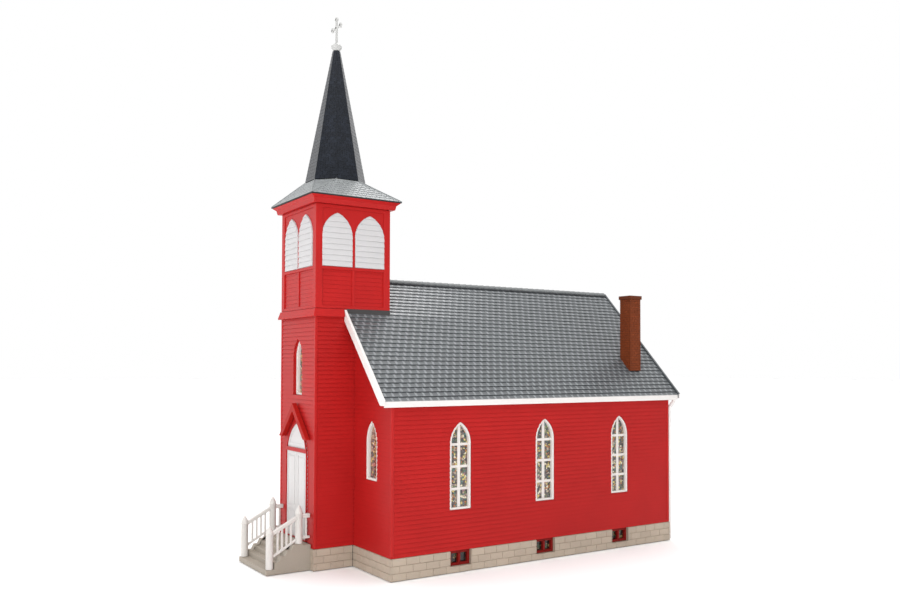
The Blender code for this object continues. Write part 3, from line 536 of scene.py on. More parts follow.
# Near black: painted shadow along the skirt's edge and under its shingles.
skirtShade = plastic("skirt_shade", (0.028, 0.03, 0.032), 0.6)
spireSlate = plastic("spire_slate", (0.011, 0.014, 0.021), 0.3, toned=0.25, relief=0.02,
                     coat=0.3)
brick = plastic("chimney", (0.185, 0.04, 0.012), 0.55, toned=0.12, specular=0.12)
brickBed = plastic("chimney_joint", (0.12, 0.03, 0.012), 0.65, specular=0.12)
inside = plastic("inside", (0.2, 0.19, 0.18), 0.6)
glassPalette = (
    (0.09, 0.075, 0.07), (0.40, 0.31, 0.22), (0.05, 0.045, 0.045), (0.62, 0.50, 0.16),
    (0.15, 0.20, 0.09), (0.30, 0.17, 0.18), (0.10, 0.19, 0.17), (0.74, 0.68, 0.50),
    (0.42, 0.16, 0.05), (0.14, 0.12, 0.12),
)
film = mosaic("coloured_panes", glassPalette, 0.7 * mm, (0.035, 0.03, 0.03))
rosePalette = (
    (0.26, 0.10, 0.07), (0.46, 0.24, 0.17), (0.09, 0.035, 0.03), (0.60, 0.36, 0.12),
    (0.20, 0.13, 0.06), (0.50, 0.16, 0.13), (0.10, 0.07, 0.08), (0.70, 0.48, 0.34),
)
roseFilm = mosaic("rose_panes", rosePalette, 0.8 * mm, (0.05, 0.02, 0.018))
cellarPalette = ((0.012, 0.012, 0.012), (0.02, 0.018, 0.015), (0.25, 0.19, 0.07),
                 (0.05, 0.09, 0.04), (0.015, 0.014, 0.013))
cellarFilm = mosaic("dark_panes", cellarPalette, 0.9 * mm, (0.01, 0.01, 0.01))


# Walls

boarding = {
    "pitch": 1.44 * mm,
    "butt": -0.04 * mm,  # lower edge of a board, from the wall's face
    "tip": -0.30 * mm,
    "setback": 0.42 * mm,  # the wall behind the boards
    "corner": 1.0 * mm,
    "round": 0.16 * mm,  # edge of a corner board
    "paintedShade": 0.13 * mm,  # width of the painted shade line under a board
}
belfry = {
    "post": 2.5 * mm,
    "middle": 1.0 * mm,
    "middleSetback": 0.12 * mm,
    "rail": (100.0 * mm, 101.0 * mm),
    "foot": 1.0 * mm,
    "frieze": 1.1 * mm,
    "field": 0.36 * mm,  # how deep the field round the arches lies
    "panel": 0.8 * mm,
    "tilt": 0.45,  # of its boards, as a share of the walls' boards
    "gap": 0.1 * mm,  # between a louvre field and the arch round it
    "round": 0.09 * mm,
    "fieldRound": 0.05 * mm,
}


# Clapboards on a face whose local y is height, cut to shape by a solid.
def boards(matrix, alongLow, alongHigh, low, high, cutter, depth=0.0, tilt=1.0):
    rows = math.ceil((high - low) / boarding["pitch"])
    butt = boarding["butt"]
    tip = butt + (boarding["tip"] - butt) * tilt
    tile = wedge(alongHigh - alongLow, boarding["pitch"] - hair, butt - depth, tip - depth,
                 back=-boarding["setback"] - depth - 0.06 * mm, paintedShade=boarding["paintedShade"] * tilt)
    middle = Vector(((alongLow + alongHigh) / 2, low + rows * boarding["pitch"] / 2, 0))
    place = matrix @ Matrix.Translation(middle)
    mesh = courses(tile, red, 1, rows, 1.0, boarding["pitch"], place)
    return cut(mesh, cutter)


# A square post whose outer corner is at x, y.
def cornerPost(x, y, backwards, foot, top, size):
    inX = x - math.copysign(size, x)
    inY = y + backwards * size
    low = (min(x, inX), min(y, inY), foot)
    high = (max(x, inX), max(y, inY), top)
    return softened(block(low, high), boarding["round"], 3)


# Posts on both corners of a wall
def postPair(half, y, backwards, top):
    corner = boarding["corner"]
    return [cornerPost(side * half, y, backwards, wallFootZ, top, corner) for side in (1, -1)]


# The boards over a packed wall, and the wall itself set back behind them. Its outer corners
# at the given sides are set back too, where posts stand.
def boardedWall(name, node, origin, outward, ends, top, cutter=None, sides=(), posts=()):
    axis = 0 if outward[0] else 1
    cladding = boards(facing(origin, outward), *ends, wallFootZ, top, cutter or cadMesh(node))
    core = pushed(cadMesh(node), axis, outward[axis], boarding["setback"])
    for side in sides:
        pushed(core, 0, side, boarding["setback"])
    piece("siding_" + name, [core, cladding, *posts], [red], [node])


def makeNaveWalls():
    corner = boarding["corner"]
    for name, side in bothSides:
        node = "nave_wall_" + name
        cutter = cadMesh(node)
        pushed(cutter, 1, -1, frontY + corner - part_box(node)[0].y)
        pushed(cutter, 1, 1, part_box(node)[1].y - (rearY - corner))
        reach = max(-frontY, rearY)
        boardedWall("nave_" + name, node, (side * naveHalf, 0, 0), (side, 0, 0), (-reach, reach),
                    wallTopZ, cutter)
    for name, side in bothSides:
        node = "nave_wall_front_" + name
        ends = sorted((side * towerHalf, side * (naveHalf - corner)))
        post = cornerPost(side * naveHalf, frontY, 1, wallFootZ, wallTopZ, corner)
        boardedWall("front_" + name, node, (0, frontY, 0), (0, -1, 0), ends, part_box(node)[1].z,
                    sides=[side], posts=[post])
    reach = naveHalf - corner
    boardedWall("rear", "nave_wall_rear", (0, rearY, 0), (0, 1, 0), (-reach, reach),
                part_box("nave_wall_rear")[1].z, sides=(1, -1),
                posts=postPair(naveHalf, rearY, -1, wallTopZ))


def makeTowerWalls():
    corner = boarding["corner"]
    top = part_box("tower_wall_front")[1].z
    reach = towerHalf - corner
    boardedWall("tower_front", "tower_wall_front", (0, towerFrontY, 0), (0, -1, 0), (-reach, reach),
                bandZ, sides=(1, -1), posts=postPair(towerHalf, towerFrontY, 1, top))
    reach = -towerFrontY
    for name, side in bothSides:
        node = "tower_wall_" + name
        cutter = pushed(cadMesh(node), 1, -1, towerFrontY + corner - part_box(node)[0].y)
        boardedWall("tower_" + name, node, (side * towerHalf, 0, 0), (side, 0, 0), (-reach, reach),
                    top, cutter)


louvre = {
    "pitch": 1.88 * mm,
    "out": 0.2 * mm,  # how far a slat's lower edge stands in front of the wall
    "in": 0.02 * mm,  # how far its upper edge lies behind
    "back": 1.5 * mm,
    "lap": 0.1 * mm,  # how far the board behind the slats reaches past the opening
    "gap": 0.05 * mm,
    "round": 0.06 * mm,
}


# Centre offset, width, foot, spring and top of a louvre field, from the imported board.
def louvreSizes():
    points = cadPoints("louvers_front")
    face = min(co.y for co in points)
    right = [co for co in points if co.y < face + hair and co.x > 0]
    inner, outer = min(co.x for co in right), max(co.x for co in right)
    top = max(co.z for co in right)
    foot = min(co.z for co in right)
    spring = max(co.z for co in right if co.x > outer - hair)
    return (inner + outer) / 2, outer - inner, foot, spring, top


def makeBelfry():
    offset, width, foot, spring, top = louvreSizes()
    low, high = belfryLow.z, belfryHigh.z
    panel = belfry["panel"]
    railLow, railHigh = belfry["rail"]
    fieldTop = high - belfry["frieze"]
    sides = (
        ("front", (0, towerFrontY, 0), (0, -1, 0), towerHalf),
        ("right", (towerHalf, towerY, 0), (1, 0, 0), towerDeep),
        ("back", (0, towerBackY, 0), (0, 1, 0), towerHalf),
        ("left", (-towerHalf, towerY, 0), (-1, 0, 0), towerDeep),
    )
    gap = belfry["gap"]
    for name, origin, outward, reach in sides:
        place = facing(origin, outward)
        inner = reach - belfry["post"]
        wall = cadMesh("belfry_wall_" + name)
        axis = 1 if outward[1] else 0
        pushed(wall, axis, outward[axis], panel)
        parts = [wall]
        if axis == 1:
            for side in (1, -1):
                pushed(wall, 0, side, panel)
                parts.append(cornerPost(side * towerHalf, origin[1], -outward[1], low, high,
                                        belfry["post"]))
        arch = (width + gap, foot - gap / 2, spring, top + gap / 2)
        holes = [lancet(s * offset, *arch) for s in (-1, 1)]
        field = prism(rectangle((-inner, railHigh - gap), (inner, fieldTop)), -panel - gap,
                      -belfry["field"], holes)
        parts.append(moved(softened(field, belfry["fieldRound"], 1), place))
        bars = [  # half width, foot, top and front
            (inner + gap, low, low + belfry["foot"], 0),
            (inner + gap, railLow, railHigh, 0),
            (inner + gap, fieldTop, high, 0),
            (belfry["middle"] / 2, low, spring, -belfry["middleSetback"]),
        ]
        for half, start, end, front in bars:
            bar = block((-half, start, -panel - gap), (half, end, front))
            parts.append(moved(softened(bar, belfry["round"]), place))
        solid = moved(block((-inner, low, -2 * panel), (inner, railLow + gap, 0)), place)
        depth = panel - boarding["setback"]
        cladding = boards(place, -inner, inner, low + belfry["foot"], railLow, solid, depth,
                          belfry["tilt"])
        parts.append(cladding)
        piece("belfry_" + name, parts, [red], ["belfry_wall_" + name])
        makeLouvres(name, place, offset, width, foot, spring, top)


# Two arched fields of slats, each before a board that closes it
def makeLouvres(name, place, offset, width, foot, spring, top):
    parts = []
    gap = louvre["gap"]
    rows = math.ceil((top - foot) / louvre["pitch"])
    slat = wedge(width + 4 * gap, louvre["pitch"] - hair, louvre["out"], -louvre["in"],
                 back=-louvre["back"] / 2)
    for s in (-1, 1):
        outer, board = (lancet(s * offset, width, foot, spring, top, -wider)
                        for wider in (gap, louvre["lap"]))
        parts.append(moved(prism(board, -louvre["back"], -belfry["field"]), place))
        middle = Matrix.Translation((s * offset, foot + rows * louvre["pitch"] / 2, 0))
        slats = courses(slat.copy(), louvreWhite, 1, rows, 1.0, louvre["pitch"], middle)
        solid = prism(outer, -2 * mm, 2 * mm)
        parts.append(moved(softened(cut(slats, solid), louvre["round"], 1), place))
    piece("louvres_" + name, parts, [louvreWhite], ["louvers_" + name])


# Centres, width, foot, spring and top of a node's window frames.
def windowSizes(node, axis, sign):
    points = cadPoints(node)
    face = max(sign * co[axis] for co in points)
    along = 1 - axis
    front = [co for co in points if sign * co[axis] > face - hair]
    foot = min(co.z for co in front)
    feet = sorted({round(co[along], 6) for co in front if co.z < foot + hair})
    pairs = [(feet[k], feet[k + 1]) for k in range(0, len(feet), 2)]
    centres = [(a + b) / 2 for a, b in pairs]
    width = pairs[0][1] - pairs[0][0]
    top = max(co.z for co in front)
    edge = pairs[-1][1]
    spring = max(co.z for co in front if abs(co[along] - edge) < hair)
    return centres, width, foot, spring, top, face


glazing = {
    "ring": 0.65 * mm,
    "depth": 1.35 * mm,
    "mullion": 1.05 * mm,
    "transom": 0.85 * mm,
    "barSetback": 0.9 * mm,  # of the mullion and the transoms, from the frame's face
    "transoms": (0.232, 0.487, 0.742),  # of the height from the foot to the top
    "step": 0.02 * mm,  # of a transom before the mullion
    "round": 0.09 * mm,
    "pane": 0.25 * mm,  # thickness behind the frame
    "lap": 0.2 * mm,  # how much smaller than the frame's outside the panes are
}


def makeWindows(node, label, axis, sign, barred, panesMaterial):
    centres, width, foot, spring, top, face = windowSizes(node, axis, sign)
    outward = (sign, 0, 0) if axis == 0 else (0, sign, 0)
    origin = [0, 0, 0]
    origin[axis] = sign * face
    place = facing(origin, outward)
    parts, panes = [], []
    depth = glazing["depth"]
    for centre in centres:
        spot = Vector(origin)
        spot[1 - axis] = centre
        u = (place.inverted() @ spot).x
        arch = (u, width, foot, spring, top)
        ring = prism(lancet(*arch), -depth, 0, [lancet(*arch, glazing["ring"])])
        parts.append(moved(softened(ring, glazing["round"]), place))
        if barred:
            half, front = glazing["mullion"] / 2, -glazing["barSetback"]
            bars = [((u - half, foot + half, -depth), (u + half, top - glazing["ring"], front))]
            reach = width / 2 - half
            for share in glazing["transoms"]:
                z = foot + (top - foot) * share
                t = glazing["transom"] / 2
                bars.append(((u - reach, z - t, -depth), (u + reach, z + t, front + glazing["step"])))
            for low, high in bars:
                parts.append(moved(softened(block(low, high), arris), place))
        pane = prism(lancet(*arch, glazing["lap"]), -depth - glazing["pane"],
                     -depth + glazing["step"])
        panes.append(moved(pane, place))
    piece("frames_" + label, parts, [frameWhite], [node])
    piece("panes_" + label, panes, [panesMaterial])


cellar = {
    "bar": 0.8 * mm,
    "mullion": 0.8 * mm,
    "depth": 1.2 * mm,
    "recess": 0.5 * mm,
    "pane": 0.2 * mm,
    "lining": (-2.6 * mm, -2.4 * mm),  # back and front of the dark board behind the panes
}


def makeCellarWindows():
    for name, side in bothSides:
        node = "basement_windows_" + name
        points = cadPoints(node)
        face = max(side * co.x for co in points)
        front = [co for co in points if side * co.x > face - hair]
        foot, top = min(co.z for co in front), max(co.z for co in front)
        ends = sorted({round(co.y, 6) for co in front if co.z < foot + hair})
        place = facing((side * face, 0, 0), (side, 0, 0))
        parts, panes = [], []
        for k in range(0, len(ends), 2):
            u0, u1 = sorted((side * ends[k], side * ends[k + 1]))
            bar, front = cellar["bar"], -cellar["recess"]
            back = front - cellar["depth"]
            inner = rectangle((u0 + bar, foot + bar), (u1 - bar, top - bar))
            ring = prism(rectangle((u0, foot), (u1, top)), back, front, [inner])
            left = (u0 + u1 - cellar["mullion"]) / 2
            post = block((left, foot + bar / 2, back), (left + cellar["mullion"], top - bar / 2, front))
            deep, shallow = cellar["lining"]
            parts += [moved(softened(shape, arris), place) for shape in (ring, post)]
            parts.append(moved(block((u0, foot, deep), (u1, top, shallow)), place))
            pane = block((u0 + bar / 2, foot + bar / 2, back - cellar["pane"]),
                         (u1 - bar / 2, top - bar / 2, back + 0.02 * mm))
            panes.append(moved(pane, place))
        piece("cellar_frames_" + name, parts, [darkRed], [node])
        piece("cellar_panes_" + name, panes, [cellarFilm])


# Roofs

slating = {
    "rows": 30,
    "rowPitch": 1.955 * mm,  # the rows end under the ridge tiles
    "columns": 46,
    "bond": 3,  # every third row starts alike
    "gap": 0.05 * mm,
    "butt": -0.02 * mm,
    "tip": -0.3 * mm,
    "bed": 0.5 * mm,
    "rim": (0.36 * mm, 0.3 * mm),  # width of the lighter rim at each side and at the foot: painted highlight, partly wear
    "paintedShade": 0.4 * mm,  # length of the painted shade strip under the next course
    "shade": 0.22 * mm,  # how far that strip lies lower
    "sunk": 0.03 * mm,  # how far the sides and the foot are rounded off
    "uneven": 0.02 * mm,  # how much some slates stand out
    "tilt": 0.006,
    "lift": 1.7 * mm,  # how far they rise beside the tower, most at the front end
}


# One slate: lighter rims at its sides and foot, painted highlight partly from wear, and a dark strip
# where the next course ends, painted shade
def slateTile(width, height):
    sideRim, footRim = slating["rim"]
    xs = [-width / 2, -width / 2 + sideRim, width / 2 - sideRim, width / 2]
    ys = [-height / 2, -height / 2 + footRim, height / 2 - slating["paintedShade"], height / 2]
    shape = bmesh.new()
    rim = shape.faces.layers.float.new("rim")
    grid = []
    for j, y in enumerate(ys):
        t = (y + height / 2) / height
        level = slating["butt"] + (slating["tip"] - slating["butt"]) * t
        row = []
        for i, x in enumerate(xs):
            sunk = slating["sunk"] if i in (0, 3) or j == 0 else 0.0
            sunk += slating["shade"] if j == 3 and i in (1, 2) else 0.0
            row.append(shape.verts.new((x, y, level - sunk)))
        grid.append(row)
    for j in range(3):
        for i in range(3):
            face = shape.faces.new((grid[j][i], grid[j][i + 1], grid[j + 1][i + 1], grid[j + 1][i]))
            # -1 marks the painted shade strip under the next course; 1 and 0.4 mark the lighter rims,
            # painted highlight partly from wear
            if i == 1 and j == 2:
                face[rim] = -1.0
            elif i != 1:
                face[rim] = 1.0
            elif j == 0:
                face[rim] = 0.4
    border = [edge for edge in shape.edges if len(edge.link_faces) == 1]
    skirt = bmesh.ops.extrude_edge_only(shape, edges=border)
    for vertex in skirt["geom"]:
        if isinstance(vertex, bmesh.types.BMVert):
            vertex.co.z = -slating["bed"] - 0.1 * mm
    return meshOf(shape)


# Slates past the roof's ends, or inside the notch round the tower, end at that line.
def trimmed(mesh, tileSize, reach, top, notchSide, notchEdge, notchFoot):
    shape = shapeOf(mesh)
    points = list(shape.verts)
    outside = []
    for start in range(0, len(points), tileSize):
        tile = points[start:start + tileSize]
        along = [notchSide * point.co.x for point in tile]
        over = max(along) > notchEdge
        hidden = not over and min(point.co.y for point in tile) >= notchFoot
        if hidden or max(along) <= -reach or min(along) >= reach:
            outside += tile
            continue
        for point, u in zip(tile, along):
            if u < notchEdge and point.co.y > notchFoot:
                if over:
                    u = notchEdge
                else:
                    point.co.y = notchFoot
            point.co.x = notchSide * min(max(u, -reach), reach)
    bmesh.ops.delete(shape, geom=outside, context="VERTS")
    bmesh.ops.dissolve_degenerate(shape, edges=shape.edges, dist=0.001 * mm)
    for point in shape.verts:  # a rise from the eaves to the tower's line, and none at the ridge
        share = min(point.co.y / notchFoot, (top - point.co.y) / (top - notchFoot))
        forward = (reach - notchSide * point.co.x) / (2 * reach)
        rise = slating["lift"] * max(0.0, share) * forward
        point.co.y += rise * math.sin(slopeAngle)
        point.co.z += rise * math.cos(slopeAngle)
    return meshOf(shape)


def makeRoof():
    reach = (roofHigh.y - roofLow.y) / 2
    rows, rowPitch = slating["rows"], slating["rowPitch"]
    columnPitch = 2 * reach / slating["columns"]
    eaveZ = roofHigh.z - (roofHigh.x - roofLow.x) * math.tan(slopeAngle)
    eave = Vector((roofHigh.x, (roofLow.y + roofHigh.y) / 2, eaveZ))
    edge = 0.1 * mm  # clearance round the tower
    for name, side in bothSides:
        up = (-side * math.cos(slopeAngle), 0, math.sin(slopeAngle))
        out = (side * math.sin(slopeAngle), 0, math.cos(slopeAngle))
        place = facing((side * eave.x, eave.y, eave.z), out, up)
        tile = slateTile(columnPitch - slating["gap"], rowPitch - hair)
        size = len(tile.vertices)
        centre = Matrix.Translation((-columnPitch / 2, rows * rowPitch / 2, 0))
        slates = courses(tile, slate, slating["columns"] + 1, rows, columnPitch, rowPitch, centre,
                         bond=1 / slating["bond"], cycle=slating["bond"], tilt=slating["tilt"],
                         lift=slating["uneven"], seed=7 + side)
        notchEdge = towerBackY + edge - eave.y
        notchFoot = (eave.x - towerHalf - edge) / math.cos(slopeAngle)
        slates = trimmed(slates, size, reach, rows * rowPitch, side, notchEdge, notchFoot)
        slates = moved(slates, place)
        # the bed under the slates is near black: painted shade in the gaps and along the roof's edges
        bed = cadMesh("roof_" + name)
        for vertex in bed.vertices:
            depth = (place.inverted() @ vertex.co).z
            if depth > -0.05 * mm:
                vertex.co -= Vector(out) * slating["bed"]
        piece("slates_" + name, [(bed, 1), slates], [slate, slateShade],
              ["roof_" + name])


# A block on one side of the middle plane, between two distances from it
def sideBlock(side, inner, outer, low, high):
    near, far = sorted((side * inner, side * outer))
    return block((near, *low), (far, *high))


flash = {"out": 0.06 * mm, "in": 0.2 * mm, "lap": 1.2 * mm, "round": 0.04 * mm}


# Smooth strips on the tower's sides, between the slates and the belfry; their dark grey is painted
# shade under the belfry.
def makeFlashings():
    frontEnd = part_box("bargeboard_front_right")[1].y
    foot = roofHigh.z - (towerHalf - roofLow.x) * math.tan(slopeAngle) - flash["lap"]
    for name, side in bothSides:
        strip = sideBlock(side, towerHalf - flash["in"], towerHalf + flash["out"], (frontEnd, foot),
                          (towerBackY, belfryLow.z))
        piece("flashing_" + name, [softened(strip, flash["round"], 1)], [flashing])


ridge = {
    "tile": 2.8 * mm,
    "half": 0.85 * mm,
    "thickness": 0.5 * mm,
    "step": 0.16 * mm,
    "bevel": 0.1 * mm,
    "shadow": 0.45 * mm,  # width of the dark strip along its foot
}


def makeRidge():
    low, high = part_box("ridge_cap")
    count = round((high.y - low.y) / ridge["tile"])
    pitch = (high.y - low.y) / count
    half = ridge["half"]
    drop = half * math.tan(slopeAngle)
    t = ridge["thickness"]
    outline = [(0, 0), (half, -drop), (half, -drop - t), (0, -t), (-half, -drop - t), (-half, -drop)]
    tile = prism(outline, -pitch / 2, pitch / 2)
    for vertex in tile.vertices:  # each tile laps the next one
        if vertex.co.z > 0:
            vertex.co.y -= ridge["step"]
    tile = softened(tile, ridge["bevel"])
    place = facing((0, (low.y + high.y) / 2, high.z), (0, -1, 0))
    turn = Matrix.Rotation(math.pi / 2, 4, "Y")
    tile.transform(turn.inverted())
    tiles = courses(tile, litRidgeSlate, count, 1, pitch, 1.0, place @ turn, lift=0.02 * mm, seed=3)
    parts = [tiles]
    reach = (high.y - low.y) / 2
    inner, outer = half - ridge["shadow"], half + ridge["shadow"]
    for side in (1, -1):  # a painted shadow strip on the slates, along the tiles' foot
        base = roofHigh.z - high.z + 0.03 * mm
        ends = [(side * x, base - x * math.tan(slopeAngle)) for x in (inner, outer)]
        ring = [*ends, *[(x, z + 0.06 * mm) for x, z in reversed(ends)]]
        parts.append((moved(prism(ring, -reach, reach), place), 1))
    piece("ridge_tiles", parts, [litRidgeSlate, slateShade], ["ridge_cap"])


shingle = {
    "width": 1.8 * mm,
    "height": 1.42 * mm,
    "gap": 0.11 * mm,
    "butt": -0.01 * mm,
    "tip": -0.14 * mm,
    "bed": 0.2 * mm,
    "root": 0.05 * mm,  # how far a shingle reaches into the bed
    "uneven": 0.015 * mm,
    "bevel": 0.05 * mm,
    "hip": 0.12 * mm,  # radius of the bead along a hip
    "spireHeight": 1.3 * mm,
    "spireWidth": 1.75 * mm,
    "spireRelief": 0.4,  # of the spire's slates, as a share of the skirt's
}


# Shingles in rows up an outline that stands on the x axis, cut to it
def shingled(outline, middle, columns, material, width, height, seed, relief=1.0):
    top = max(v for u, v in outline)
    rows = round(top / height)
    rowPitch = top / rows
    tile = wedge(width - shingle["gap"] * relief, rowPitch - hair, shingle["butt"],
                 shingle["tip"] * relief, back=-shingle["bed"] - shingle["root"],
                 bevel=shingle["bevel"] * relief)
    centre = Matrix.Translation((middle, top / 2, 0))
    mesh = courses(tile, material, columns, rows, width, rowPitch, centre, bond=0.5,
                   lift=shingle["uneven"] * relief, seed=seed)
    return cut(mesh, prism(outline, -1 * mm, 1 * mm))


# Shingles on a flat face given by its corners in order, the first two along its foot.
def facet(points, material, width, height, seed, relief=1.0):
    foot = points[1] - points[0]
    normal = foot.cross(points[2] - points[0]).normalized()
    place = facing(points[0], normal, normal.cross(foot).normalized())
    local = [place.inverted() @ point for point in points]
    outline = [(point.x, point.y) for point in local]
    right = max(u for u, v in outline)
    left = min(u for u, v in outline)
    columns = math.ceil((right - left) / width) + 1
    middle = (left + right) / 2 - width / 4
    return moved(shingled(outline, middle, columns, material, width, height, seed, relief), place)


def aboutAxis(mesh, angle):
    axis = Vector((0, towerY, 0))
    turn = Matrix.Translation(axis) @ Matrix.Rotation(angle, 4, "Z") @ Matrix.Translation(-axis)
    copy = mesh.copy()
    copy.transform(turn)
    return copy


# A thin six-sided bar along an edge
def bead(start, end, radius):
    length = (end - start).length
    mesh = turnedMesh([(radius, 0), (radius, length)], 6)
    turn = (end - start).to_track_quat("Z", "Y").to_matrix().to_4x4()
    turn.translation = start
    return moved(mesh, turn)


def makeSkirt():
    low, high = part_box("skirt_roof")
    halfX, halfY = high.x, (high.y - low.y) / 2
    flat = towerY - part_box("spire")[0].y  # from the axis to the octagon's flat
    corner = flat * math.tan(math.pi / 8)
    lipTop = min(co.z for co in cadPoints("skirt_roof") if co.z > low.z + 0.1 * mm)
    # the skirt under the shingles is near black: painted shadow along its edge
    bed = cadMesh("skirt_roof")
    for vertex in bed.vertices:
        if vertex.co.z > low.z + 0.1 * mm:
            vertex.co.z -= shingle["bed"]
    parts = [(bed, 1)]
    corners = ((-1, -1), (1, -1), (1, 1), (-1, 1))
    eave = [Vector((x * halfX, towerY + y * halfY, lipTop)) for x, y in corners]
    spots = [(-corner, -flat), (corner, -flat), (flat, -corner), (flat, corner)]
    spots += [(-x, -y) for x, y in spots]
    ring = [Vector((x, towerY + y, high.z)) for x, y in spots]
    for k in range(4):
        left, right = eave[k], eave[(k + 1) % 4]
        main = [left, right, ring[2 * k + 1], ring[2 * k]]
        hip = [right, ring[(2 * k + 2) % 8], ring[2 * k + 1]]
        parts.append(facet(main, skirtSlate, shingle["width"], shingle["height"], 11 + k))
        parts.append(hipShingles(hip))
        # beads along the hips, in the lighter grey: painted highlight on each hip
        for end in (ring[2 * k + 1], ring[(2 * k + 2) % 8]):
            parts.append((bead(right, end, shingle["hip"]), 2))
    piece("skirt_slates", parts, [skirtSlate, skirtShade, skirtHipHighlight], ["skirt_roof"])


# The narrow triangle at a corner: its point is at the eave, its level edge at the spire.
def hipShingles(hip):
    tip, right, left = hip
    across = left - right
    normal = (right - tip).cross(left - tip).normalized()
    up = ((left + right) / 2 - tip).normalized()
    place = facing(tip, normal, up)
    local = [place.inverted() @ spot for spot in (right, left)]
    outline = [(0.0, 0.0)] + [(point.x, point.y) for point in local]
    width, height = shingle["width"], shingle["height"]
    columns = math.ceil(across.length / width) + 2
    return moved(shingled(outline, -width / 4, columns, skirtSlate, width, height, 21), place)


def makeSpire():
    low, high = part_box("spire")
    flat = towerY - low.y
    topFlat = towerY - min(co.y for co in cadPoints("spire") if co.z > high.z - 0.1 * mm)
    t = math.tan(math.pi / 8)
    corners = ((-flat, flat, low.z), (flat, flat, low.z), (topFlat, topFlat, high.z),
               (-topFlat, topFlat, high.z))
    face = [Vector((x * t, towerY - out, z)) for x, out, z in corners]
    side = facet(face, spireSlate, shingle["spireWidth"], shingle["spireHeight"], 31,
                 shingle["spireRelief"])
    core = cadMesh("spire")
    for vertex in core.vertices:
        away = Vector((vertex.co.x, vertex.co.y - towerY, 0))
        vertex.co -= away.normalized() * shingle["bed"]
    facets = [aboutAxis(side, math.pi / 4 * k) for k in range(8)]
    piece("spire_slates", [core, *facets], [spireSlate], ["spire"])


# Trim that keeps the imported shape, with softened edges

def softCopy(node, name, slot, material, width, segments=2):
    body = softened(cadMesh(node, True), width, segments)
    return piece(name, [body], [material], [node])


def makeTrim():
    for end in ("front", "rear"):
        for side in ("right", "left"):
            node = f"bargeboard_{end}_{side}"
            board = softCopy(node, f"board_{end}_{side}", "white_trim", white, 0.12 * mm)
            board.data.materials.append(slate)
            for face in board.data.polygons:  # the rear boards are grey where they show past the roof
                if end == "rear" and (face.normal.z > 0.2 or face.normal.y < -0.5):
                    face.material_index = 1
    trim = (
        ("belfry_cornice", "cornice", "red_siding", red, 0.09 * mm, 2),
        ("tower_band", "water_table", "red_siding", red, arris, 2),
        ("entrance_hood", "hood", "red_siding", shadedHoodRed, 0.1 * mm, 2),
        ("door_frame", "entrance_frame", "red_siding", red, 0.06 * mm, 1),
        ("stairs", "steps", "stair_concrete", concrete, 0.14 * mm, 2),
        ("gutter_right", "fascia_right", "white_trim", white, arris, 1),
        ("gutter_left", "fascia_left", "white_trim", white, arris, 1),
    )
    for row in trim:
        softCopy(*row)


# Stone, brick and small things

# Blocks laid half over one another on a face, from a dictionary that gives their sizes
def bonded(sizes, material, place, middle, columns, rows, height, seed):
    length, gap, proud = sizes["length"], sizes["gap"], sizes["proud"]
    tile = wedge(length - gap, height - gap, proud, proud, back=-sizes["root"], bevel=sizes["bevel"])
    centre = place @ Matrix.Translation((*middle, 0))
    return courses(tile, material, columns, rows, length, height, centre, bond=0.5,
                   lift=sizes["uneven"], seed=seed)


blocks = {
    "length": 5.0 * mm,
    "proud": 0.18 * mm,
    "root": 0.2 * mm,
    "gap": 0.14 * mm,
    "bevel": 0.09 * mm,
    "uneven": 0.03 * mm,
    "rows": 3,
    "cornerShade": 0.12 * mm,  # how much wider than the blocks' relief the painted shade strip beside the tower is
}


def makePlinth():
    rows, length, proud = blocks["rows"], blocks["length"], blocks["proud"]
    runs = [
        ("stones_right", (naveHalf, 0, 0), (1, 0, 0), frontY, rearY, "foundation_right"),
        ("stones_left", (-naveHalf, 0, 0), (-1, 0, 0), -rearY, -frontY, "foundation_left"),
        ("stones_rear", (0, rearY, 0), (0, 1, 0), -naveHalf, naveHalf, None),
        ("stones_front_right", (0, frontY, 0), (0, -1, 0), towerHalf, naveHalf, None),
        ("stones_front_left", (0, frontY, 0), (0, -1, 0), -naveHalf, -towerHalf, None),
        ("stones_tower_front", (0, towerFrontY, 0), (0, -1, 0), -towerHalf, towerHalf, None),
        ("stones_tower_right", (towerHalf, 0, 0), (1, 0, 0), towerFrontY, frontY, None),
        ("stones_tower_left", (-towerHalf, 0, 0), (-1, 0, 0), -frontY, -towerFrontY, None),
    ]
    for name, origin, outward, start, end, node in runs:
        place = facing(origin, outward)
        columns = math.ceil((end - start) / length) + 1
        middle = ((start + end) / 2 - length / 4, plinthTop / 2)
        mesh = bonded(blocks, stone, place, middle, columns, rows, plinthTop / rows, len(name))
        if node:
            solid = cadMesh(node)
            pushed(solid, 0, outward[0], -1 * mm)
            pushed(solid, 1, -1, -(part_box(node)[0].y - frontY + proud))
            pushed(solid, 1, 1, -(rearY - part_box(node)[1].y + proud))
        else:
            solid = moved(block((start - proud, 0, -1 * mm), (end + proud, plinthTop, 1 * mm)), place)
        piece(name, [cut(mesh, solid)], [stone])
    cornerShade = proud + blocks["cornerShade"]
    for name, side in bothSides:  # painted shade in the corner between tower and nave
        strip = sideBlock(side, towerHalf, towerHalf + cornerShade, (frontY - cornerShade, 0), (frontY, plinthTop))
        piece("seam_" + name, [strip], [slateShade])


bricks = {
    "length": 1.8 * mm,
    "height": 0.9 * mm,
    "gap": 0.1 * mm,
    "proud": 0.12 * mm,
    "root": 0.2 * mm,
    "bevel": 0.04 * mm,
    "uneven": 0.02 * mm,
    "cap": 4.0 * mm,  # the part below the top that may be wider than the shaft
}


